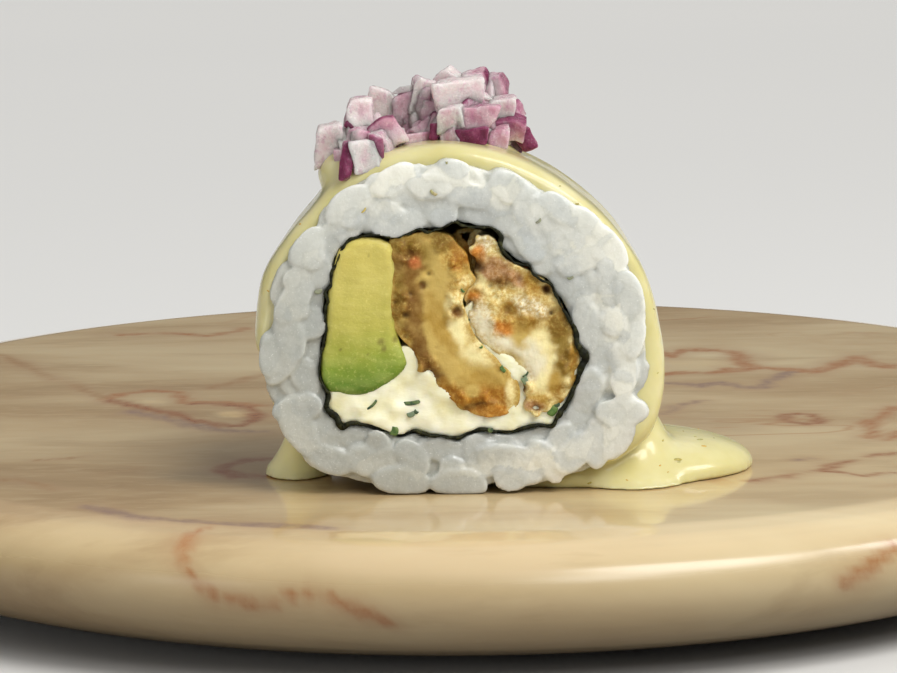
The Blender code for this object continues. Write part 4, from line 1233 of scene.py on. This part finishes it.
def make_fillets():
    pieces = []
    material = fillet_material()
    sets = (("fillet_left", LEFT_OUTLINE, LEFT_PATCHES, LEFT_PITS, LEFT_CRAGS, PALE, 100),
            ("fillet_right", RIGHT_OUTLINE, RIGHT_PATCHES, RIGHT_PITS, RIGHT_CRAGS, CREAM, 130))
    for name, outline, patches, pits, crags, base, count in sets:
        draw = np.random.default_rng(len(name))
        loop = smooth_loop(outline, 300)
        meeting = prism(np.array(MEETING), FACE_Y + MEETING_DEPTH, BACK_Y - MEETING_DEPTH)
        piece = filling(name, loop, 0.24, [meeting, *crumbs(draw, crags, count, loop)], 1)
        points = points_of(piece)
        x, z = points[:, 0] - ROLL_X, points[:, 2] - ROLL_Z
        crag = np.zeros(len(points))
        for cx, cz, radius in crags:
            crag = np.maximum(crag, 1 - smooth_step(0.6, 1.4, np.hypot(x - cx, z - cz) / radius))
        edge = 1 - smooth_step(0.3, 1.6, edge_distance(points, loop))
        crag = np.maximum(crag, edge * 0.8)
        # Share of painted shade in the holes, near the cut faces
        pit_shade = np.zeros(len(points))
        deep = np.zeros(len(points))
        bumps = 0.25 * rough(points, 0.8, 12)
        for hx, hz, radius, depth in pits:
            share = np.exp(-(((x - hx) ** 2 + (z - hz) ** 2) / radius ** 2) * (1 + bumps))
            pit_shade = np.maximum(pit_shade, share * min(1.0, depth))
            deep = np.maximum(deep, share * depth)
        relief = 0.2 * noise(points, 2.6, 1) + 0.06 * rough(points, 0.9, 2)
        relief += crag * (0.25 * noise(points, 1.1, 3) + 0.11 * noise(points, 0.5, 4))
        push(points, relief - deep - 0.25 * edge)
        reshape(piece, points)
        mark_colour(piece, "paint", painted(points, base, patches))
        mark(piece, "crag", crag)
        mark(piece, "pit_shade", pit_shade * end_share(points, 3.0))
        pieces.append(dress(piece, material, name))
    return pieces


# Bits in the fillings: place about the axis, half length, half width, lean and colour; those in SHADE are
# grey flecks of painted shade in the rice
GREEN = (70, 104, 40)
DEEP_GREEN = (40, 66, 44)
GREY_GREEN = (120, 138, 112)
HUSK = (158, 146, 104)
AMBER = (206, 182, 96)
# Grey of painted shade, for flecks that stand for small shaded gaps in the rice
SHADE = (134, 134, 118)
HERBS_AND_SHADE_FLECKS = (
    (-10.2, -9.35, 0.8, 0.16, 40, DEEP_GREEN), (-5.4, -9.2, 1.0, 0.26, 8, DEEP_GREEN),
    (-5.5, -10.6, 0.5, 0.3, 20, GREY_GREEN), (-4.9, -10.3, 0.3, 0.2, -40, DEEP_GREEN),
    (5.75, -5.05, 0.45, 0.25, -50, GREEN), (8.5, -6.5, 0.4, 0.5, 30, GREY_GREEN),
    (8.6, -5.8, 0.45, 0.12, 40, DEEP_GREEN), (1.7, 1.05, 0.42, 0.14, 5, DEEP_GREEN),
    (3.2, -2.3, 0.22, 0.12, 30, GREEN), (11.9, -10.3, 0.7, 0.45, 55, GREEN),
    (-7.5, -12.6, 0.55, 0.45, 70, GREEN), (4.2, -12.6, 0.3, 0.25, 0, DEEP_GREEN),
    (0.9, 4.7, 0.35, 0.12, -50, GREEN), (12.4, -9.6, 0.35, 0.2, 20, DEEP_GREEN),
    (-2.5, 16.7, 0.5, 0.2, -40, HUSK), (-0.8, 20.3, 0.14, 0.14, 0, HUSK),
    (-10.8, 14.65, 0.4, 0.1, 50, AMBER), (-16.6, 4.75, 0.5, 0.3, 0, SHADE),
    (10.3, 13.1, 0.4, 0.16, 40, SHADE), (14.1, 6.1, 0.4, 0.16, 20, SHADE),
)


def make_herbs_and_shade_flecks(carriers):
    """Chopped chives and herb flecks pressed into the cut faces, and grey flecks of painted shade."""
    trees = [tree_of(piece) for piece in carriers]
    shape, faces = block(4)
    draw = np.random.default_rng(8)
    parts, colours = [], []
    for x, z, half, wide, lean, colour in HERBS_AND_SHADE_FLECKS:
        for side in (1, -1):
            start = Vector((ROLL_X + x, FACE_Y - 5 if side > 0 else BACK_Y + 5, ROLL_Z + z)) * MM
            hits = [tree.ray_cast(start, Vector((0, side, 0)))[0] for tree in trees]
            depths = [hit.y / MM for hit in hits if hit is not None]
            y = (min(depths) if side > 0 else max(depths)) if depths else FACE_Y + 1
            points = shape / (np.sum(np.abs(shape) ** 6, axis=1) ** (1 / 6))[:, None]
            lumps = 0.14 * noise(shape + draw.uniform(0, 9, 3), 0.8)
            points = points * (half, 0.16, wide) * (1 + lumps)[:, None]
            points[:, 2] += 0.12 * (points[:, 0] / half) ** 2
            points = turned(points, ("X", draw.uniform(-14, 14)), ("Y", -lean))
            parts.append((points + (ROLL_X + x, y - 0.02 * side, ROLL_Z + z), faces))
            colours += [linear(colour) * draw.uniform(0.85, 1.2)] * len(points)
    piece = make("herbs_and_shade_flecks", *joined(parts))
    mark_colour(piece, "paint", np.array(colours))
    paint = Surface("herbs_and_shade_flecks", Roughness=0.4)
    colour = paint.node("Attribute", attribute_name="paint").outputs["Color"]
    colour = paint.mix(paint.span(paint.noise(0.5, 3), 0.4, 0.7, 0, 0.4), colour, (150, 168, 96))
    glow(paint, 0.2, 0.5, 0.7, 0.3)
    dress(piece, paint.show(Base_Color=colour, Normal=paint.bump(paint.noise(0.2), 0.03)),
          "cream_cheese")


# Sauce


def coat():
    """Coat over the roll: a wall from inside the rice out to the sauce's surface."""
    angles = np.arange(0, 360, 1.5)
    turn = np.radians(angles)
    core = np.minimum(reach(RICE_REACH, angles), (ROLL_UP - 0.3) / np.maximum(-np.sin(turn), 1e-3))
    ys = np.linspace(FACE_Y + SAUCE_SUNK, BACK_Y - SAUCE_BACK, 60)
    ahead = sum(amount * np.exp(-(((angles - angle + 180) % 360 - 180) / spread) ** 2)
                for angle, spread, amount in SAUCE_AHEAD)
    rings = []
    for y in ys:
        inward = min(y - ys[0], ys[-1] - y)
        lip = np.interp(inward, *np.array(SAUCE_LIP).T)
        lip *= 1 - 0.3 * smooth_step(8, 22, y - FACE_Y)
        full = reach(SAUCE_REACH, angles) - core
        stream = math.exp(-((y - FOOT["y"]) / STREAM_W) ** 2)
        bare = smooth_step(183, 203, angles) * (1 - smooth_step(240, 260, angles)) * (1 - stream)
        signed = (angles + 180) % 360 - 180
        right = (1 - smooth_step(-22, -4, signed)) * smooth_step(-75, -60, signed)
        right *= smooth_step(RIGHT_END_Y - 3, RIGHT_END_Y + 2, y)
        flat = np.column_stack((20 * np.cos(turn), np.full(len(turn), y), 20 * np.sin(turn)))
        waves = 0.16 * noise(flat, 7.0, 6) + 0.1 * noise(flat, 3.5, 7)
        radius = core + full * np.where(full > 0, lip, 1) - BARE_DROP * (bare + right) + waves * lip
        radius = np.minimum(radius, (ROLL_UP - 0.2) / np.maximum(-np.sin(turn), 1e-3))
        ring = [radius, np.minimum(core - 2.2, radius - 0.6)]
        places = y - ahead * (ys[-1] - y) / (ys[-1] - ys[0])
        rings.append([np.column_stack((ROLL_X + r * np.cos(turn), places,
                                       ROLL_Z + r * np.sin(turn))) for r in ring])
    wall = [ring[0] for ring in rings] + [ring[1] for ring in reversed(rings)]
    return np.vstack(wall), tube_faces(len(angles), len(wall), closed=True)


def drop(size):
    """Drop of sauce on the board: flat with a round edge, or drawn up into a hollow cone."""
    turn = np.radians(np.arange(0, 360, 3))

    def ring(share, up):
        return np.column_stack((size["x"] + share * size["rx"] * np.cos(turn),
                                size["y"] + share * size["ry"] * np.sin(turn),
                                np.full(len(turn), BOARD_TOP + up)))

    rings = [ring(1.0, 0.1)]
    for share in (1.0, 0.995, 0.97, 0.93, 0.86, 0.76, 0.64, 0.5, 0.35, 0.2, 0.08):
        height = math.sqrt(1 - share ** 4) if size["form"] == "flat" else (1 - share) ** 1.7
        rings.append(ring(share, 0.35 + height * (size["h"] - 0.35)))
    faces = tube_faces(len(turn), len(rings))
    last = (len(rings) - 1) * len(turn)
    return np.vstack(rings), faces + [list(range(len(turn)))[::-1], list(range(last, last + len(turn)))]


def make_sauce():
    shape, faces = ball(3)
    parts = [coat(), drop(PUDDLE), drop(NECK), drop(FOOT)]
    for size in SADDLES:
        middle = (ROLL_X + size["x"], FACE_Y + size["depth"], ROLL_Z + size["z"])
        parts.append((shape * (size["rx"], size["ry"], size["rz"]) + middle, faces))
    piece = skinned("sauce_piece", parts, 0.45, 22)
    points = points_of(piece)
    low = points[:, 2] < BOARD_TOP + 0.9
    points[low, 2] = np.maximum(points[low, 2] - 0.25, BOARD_TOP + 0.05)
    reshape(piece, points)
    # Painted light: the sauce is made lighter about its foot, which lies in the roll's shade
    away = np.linalg.norm((points - (FOOT["x"], FOOT["y"] - 3, BOARD_TOP + 3)) / (9, 9, 11), axis=1)
    mark(piece, "painted_foot_light", 1 - smooth_step(0.5, 1.1, away))
    paint = Surface("sauce", Roughness=0.2, IOR=1.35)
    colour = paint.ramp(paint.noise(6, 3, 0.5), (0.3, (202, 193, 132)), (0.55, (210, 202, 148)),
                        (0.75, (217, 210, 164)))
    colour = paint.mix(paint.span(paint.value("painted_foot_light"), 0, 1, 0, 0.9), colour, (255, 243, 178))
    paint.shader.inputs["Coat Weight"].default_value = 0.35
    paint.shader.inputs["Coat Roughness"].default_value = 0.05
    paint.shader.inputs["Coat IOR"].default_value = 1.35
    glow(paint, 0.35, 2.0, 1.6, 0.7)
    relief = paint.bump(paint.noise(3.2, 2, 0.4), 0.12)
    dress(piece, paint.show(Base_Color=colour, Normal=relief), "sauce")
    return piece


# Specks in the sauce: pixel of the photograph, half length in millimetres and colour
SPECK_OLIVE = (150, 138, 62)
SPECK_GREY = (150, 148, 96)
SPECK_GOLD = (196, 150, 40)
SPECKS = (
    (663, 440.5, 0.28, SPECK_OLIVE), (704, 446, 0.45, SPECK_GOLD), (678, 459.5, 0.62, SPECK_OLIVE),
    (660, 465.5, 0.22, SPECK_GOLD), (589.5, 483, 0.3, SPECK_OLIVE), (700, 439.5, 0.6, SPECK_GREY),
    (627, 480, 0.2, SPECK_GOLD), (668, 472, 0.16, SPECK_GOLD), (577, 204, 0.3, SPECK_OLIVE),
    (654, 309, 0.22, SPECK_OLIVE), (300, 224, 0.26, SPECK_GOLD), (650, 280, 0.2, SPECK_OLIVE),
    (268, 291, 0.2, SPECK_GOLD), (714, 438, 0.25, SPECK_GREY), (560, 186, 0.2, SPECK_GREY),
)


def make_specks(sauce):
    """Fine specks at the sauce's surface, at named places and a few more all round."""
    tree = tree_of(sauce)
    draw = np.random.default_rng(4)
    spots = []
    for px, py, half, colour in SPECKS:
        found = on_piece(tree, px, py)
        if found:
            spots.append((*found, half, colour))
    places, normals = points_of(sauce), normals_of(sauce)
    _, radius = polar(places)
    outside = np.flatnonzero((radius > 22.5) & (places[:, 2] > BOARD_TOP + 1))
    for number in draw.choice(outside, 26, replace=False):
        colour = (SPECK_OLIVE, SPECK_GREY, SPECK_GOLD)[draw.integers(3)]
        spots.append((places[number], normals[number], draw.uniform(0.12, 0.3), colour))
    shape, faces = ball(2)
    parts, colours = [], []
    for place, normal, half, colour in spots:
        turn = Vector(normal).to_track_quat("Z", "Y").to_matrix()
        points = turned(shape * (half, half * 0.45, 0.09), ("Z", draw.uniform(-30, 30)))
        points = points @ np.array(turn).T
        parts.append((points + place - np.asarray(normal) * 0.03, faces))
        colours += [linear(colour)] * len(points)
    piece = make("sauce_specks", *joined(parts))
    mark_colour(piece, "paint", np.array(colours))
    paint = Surface("sauce_specks", Roughness=0.25)
    colour = paint.node("Attribute", attribute_name="paint").outputs["Color"]
    colour = paint.mix(paint.span(paint.noise(0.3, 2), 0.4, 0.7, 0, 0.4), colour, (226, 206, 110))
    dress(piece, paint.show(Base_Color=colour), "sauce")


# Red onion


DIE = block(9)

# Dice that show, as x, z, shift towards the viewer, half width, half height, half
# thickness, lean in the picture, the side that faces the viewer, lilac share and skin
DICE = (
    (-15.2, 20.9, 1.0, 1.65, 2.4, 1.2, 6, "flesh", 0.05, 0.0),
    (-12.9, 19.3, 2.6, 0.85, 2.6, 0.9, -10, "skin", 0.9, 1.0),
    (-10.6, 19.8, 1.4, 1.9, 2.3, 1.3, 8, "flesh", 0.25, 0.0),
    (-9.3, 20.9, 1.8, 0.8, 1.6, 0.8, -5, "skin", 0.7, 0.7),
    (-11.4, 24.2, 0.2, 1.7, 2.0, 1.5, 0, "flesh", 0.35, 0.0),
    (-12.2, 22.8, 1.6, 0.4, 1.4, 0.6, 42, "skin", 0.8, 0.8),
    (-8.8, 25.2, -0.6, 1.8, 1.5, 1.4, -12, "flesh", 0.2, 0.0),
    (-7.1, 24.0, 0.9, 0.8, 0.9, 0.3, -35, "flesh", 0.0, 0.0),
    (-8.0, 23.0, 1.2, 1.6, 1.7, 1.1, 30, "edge", 0.45, 0.8),
    (-4.0, 27.2, 0.8, 1.25, 2.7, 1.1, -10, "flesh", 0.1, 0.0),
    (-4.8, 24.8, -0.4, 2.4, 3.2, 1.8, 14, "flesh", 0.55, 0.0),
    (-6.4, 25.6, -1.0, 1.4, 2.2, 1.2, -24, "edge", 0.6, 0.7),
    (-3.4, 22.2, 0.6, 2.2, 1.1, 1.2, 12, "flesh", 0.6, 0.0),
    (0.7, 27.6, 1.2, 2.7, 1.75, 1.3, 2, "flesh", 0.04, 0.0),
    (-0.6, 29.1, -0.4, 1.7, 1.5, 1.2, 40, "flesh", 0.08, 0.0),
    (2.75, 28.4, -0.8, 1.6, 1.5, 1.2, -70, "edge", 0.35, 0.9),
    (5.2, 28.2, -1.0, 1.3, 1.5, 1.0, -80, "edge", 0.2, 0.6),
    (5.9, 25.9, 0.8, 1.9, 1.2, 1.3, -4, "flesh", 0.1, 0.0),
    (-0.1, 24.8, 1.4, 1.45, 1.35, 1.2, 8, "flesh", 0.2, 0.0),
    (3.0, 25.0, 1.3, 2.3, 1.6, 1.3, -4, "flesh", 0.5, 0.0),
    (2.5, 22.7, 1.6, 1.95, 1.0, 0.9, 0, "skin", 0.9, 1.0),
    (7.2, 23.2, 1.2, 1.9, 1.5, 1.3, -12, "edge", 0.5, 0.7),
    (8.9, 21.8, 1.0, 1.05, 1.6, 1.0, 28, "skin", 0.85, 0.9),
    (5.6, 22.3, 1.0, 1.4, 1.6, 1.2, 10, "flesh", 0.5, 0.0),
    (-0.3, 22.6, 1.0, 1.1, 1.1, 1.0, 14, "flesh", 0.6, 0.0),
    (-2.1, 23.4, 1.2, 0.7, 0.9, 0.7, -10, "skin", 0.7, 0.9),
    (-5.6, 21.6, 1.1, 1.3, 1.0, 1.0, 24, "flesh", 0.5, 0.0),
    (7.6, 25.2, 0.4, 0.9, 1.2, 0.9, 18, "edge", 0.5, 0.6),
    (-14.2, 18.2, 1.2, 1.1, 1.0, 0.9, -20, "flesh", 0.15, 0.0),
)
HERO_SIZE = 1.04
BREAKS = 3                               # broken corners of a dice
LEFT_END = -8.5
LEFT_LIFT = 1.1
FACING = {"skin": (("X", 90),), "flesh": (("X", -90),), "edge": (("X", 8),)}
FILMS = ((-5.6, 28.2, 0.6, 1.6, 0.4, 8), (5.7, 28.5, -0.6, 0.5, 1.2, -12))


def mound_front(x, z):
    """Depth behind the cut face of the mounds' near side at a place about the axis."""
    best = None
    for size in MOUNDS:
        share = ((x - size["x"]) / size["rx"]) ** 2 + ((z - size["z"]) / size["rz"]) ** 2
        depth = size["depth"] - size["ry"] * math.sqrt(max(0.0, 1 - share))
        near = share + (0.0 if share < 1 else 1.0)
        if best is None or near < best[0]:
            best = (near, depth)
    return best[1]


def die(draw, centre, half, turns, lilac, skin):
    """One dice of onion, its layer's outer side up before it is turned, and its marks."""
    shape = DIE[0] / (np.sum(np.abs(DIE[0]) ** 14, axis=1) ** (1 / 14))[:, None]
    skew = np.eye(3) + draw.uniform(-0.17, 0.17, (3, 3))
    points = (shape * half) @ skew.T
    taper = 1 + draw.uniform(-0.16, 0.16) * shape[:, 0] + draw.uniform(-0.16, 0.16) * shape[:, 1]
    points[:, 2] *= taper
    points[:, 0] *= 1 + draw.uniform(-0.14, 0.14) * shape[:, 1]
    points[:, 2] += 0.25 * half[2] * (1 - shape[:, 0] ** 2)
    lumps = noise(points + draw.uniform(0, 60, 3), 1.3) * 0.22
    lumps += noise(points * (1, 0.4, 1), 0.55, 2) * 0.09
    points = points + shape * lumps[:, None]
    for _ in range(BREAKS):
        way = draw.normal(0, 1, 3) * (1, 1, 0.5)
        way /= np.linalg.norm(way)
        along = points @ way
        points -= np.maximum(0, along - draw.uniform(0.7, 0.95) * along.max())[:, None] * way
    points = turned(points, *turns)
    top = smooth_step(0.7, 0.99, shape[:, 2])
    marks = {
        "skin": top * skin,
        "lilac": np.clip(lilac + 0.3 * shape[:, 2] * (0.4 + skin) + draw.uniform(-0.06, 0.06), 0, 1),
    }
    draw.uniform()                       # left unused, so that the dice drawn later stay as they are
    return points + centre, marks


def onion_material():
    paint = Surface("red_onion", Roughness=0.24, IOR=1.36)
    uneven = paint.span(paint.noise(1.6, 3), 0.3, 0.7, -0.22, 0.22)
    lilac = paint.sum("ADD", paint.value("lilac"), uneven)
    skin = paint.value("skin")
    colour = paint.ramp(lilac, (0.0, (226, 214, 210)), (0.3, (214, 184, 190)), (0.6, (194, 146, 160)),
                        (1.0, (160, 92, 122)))
    vein = paint.span(paint.noise(0.6, 4, 0.65, (1, 1, 2.4)), 0.5, 0.7, 0, 0.4)
    colour = paint.mix(vein, colour, (236, 226, 228))
    blush = paint.span(paint.noise(1.0, 3, 0.6), 0.56, 0.7, 0, 0.45)
    colour = paint.mix(blush, colour, (178, 106, 146))
    purple = paint.ramp(paint.noise(1.1, 3), (0.3, (98, 30, 62)), (0.55, (124, 48, 84)),
                        (0.75, (152, 86, 114)))
    colour = paint.mix(paint.span(skin, 0.3, 0.8), colour, purple)
    wet = paint.span(paint.noise(0.6, 2), 0.35, 0.7, 0.08, 0.35)
    glow(paint, 0.7, 2.4, 1.8, 2.0)
    paint.shader.inputs["Transmission Weight"].default_value = 0.15
    relief = paint.bump(paint.noise(0.45, 4, 0.65), 0.14)
    return paint.show(Base_Color=colour, Roughness=wet, Normal=relief)


def make_onion():
    draw = np.random.default_rng(15)
    parts, marks = [], []

    def add(points, own, faces):
        parts.append((points, faces))
        marks.append(own)

    for x, z, near, wide, high, thick, lean, side, lilac, skin in DICE:
        z += LEFT_LIFT if x < LEFT_END else 0
        centre = (ROLL_X + x, FACE_Y + mound_front(x, z) + 0.4 - near, ROLL_Z + z)
        half = np.array((wide, high, thick) if side != "edge" else (wide, thick, high)) * HERO_SIZE
        turns = (*FACING[side], ("Z", draw.uniform(-14, 14)), ("X", draw.uniform(-10, 10)), ("Y", -lean))
        lilac = lilac + 0.22 * smooth_step(3, 8, x) - 0.18 * (x < LEFT_END)
        add(*die(draw, centre, half, turns, lilac, skin), DIE[1])
    golden = math.pi * (3 - math.sqrt(5))
    for size, count in zip(MOUNDS, (16, 44)):
        for i in range(count):
            up = 1 - 1.15 * (i + 0.5) / count
            out = math.sqrt(max(0.0, 1 - up * up))
            behind = math.sin(i * golden)
            reached = 0.87 if behind > 0 else 0.74
            y = FACE_Y + size["depth"] + reached * size["ry"] * out * behind
            centre = (ROLL_X + size["x"] + reached * size["rx"] * out * math.cos(i * golden), y,
                      ROLL_Z + size["z"] + reached * size["rz"] * up)
            half = draw.uniform(1.2, 2.1, 3) * (1, 1, 0.75)
            skin = float(draw.uniform() < 0.25)
            turns = [(axis, draw.uniform(0, 360)) for axis in "XYZ"]
            add(*die(draw, centre, half, turns, draw.uniform(0.05, 0.65), skin), DIE[1])
    shape, faces = ball(3)
    for size in MOUNDS:
        points = shape * (0.86 * size["rx"], 0.86 * size["ry"], 0.86 * size["rz"])
        points += (ROLL_X + size["x"], FACE_Y + size["depth"], ROLL_Z + size["z"])
        zero = np.zeros(len(points))
        add(points, {"skin": zero, "lilac": zero + 0.35}, faces)
    for x, z, near, wide, high, lean in FILMS:
        points = DIE[0] * (wide, 0.07, high)
        points[:, 0] *= 1 - 0.45 * DIE[0][:, 2]
        points[:, 1] += 0.3 * (DIE[0][:, 0]) ** 2 + 0.08 * noise(points, 0.6)
        points = turned(points, ("Y", -lean))
        points += (ROLL_X + x, FACE_Y + mound_front(x, z) + 0.2 - near, ROLL_Z + z)
        zero = np.zeros(len(points))
        add(points, {"skin": zero, "lilac": zero}, DIE[1])
    piece = make("onion_dice", *joined(parts))
    for name in ("skin", "lilac"):
        mark(piece, name, np.concatenate([own[name] for own in marks]))
    dress(piece, onion_material(), "red_onion")


make_camera()
make_studio()
make_board()
carriers = [*make_rice(), make_nori(), make_cheese(), *make_fillets()]
make_avocado()
make_herbs_and_shade_flecks(carriers)
make_specks(make_sauce())
make_onion()
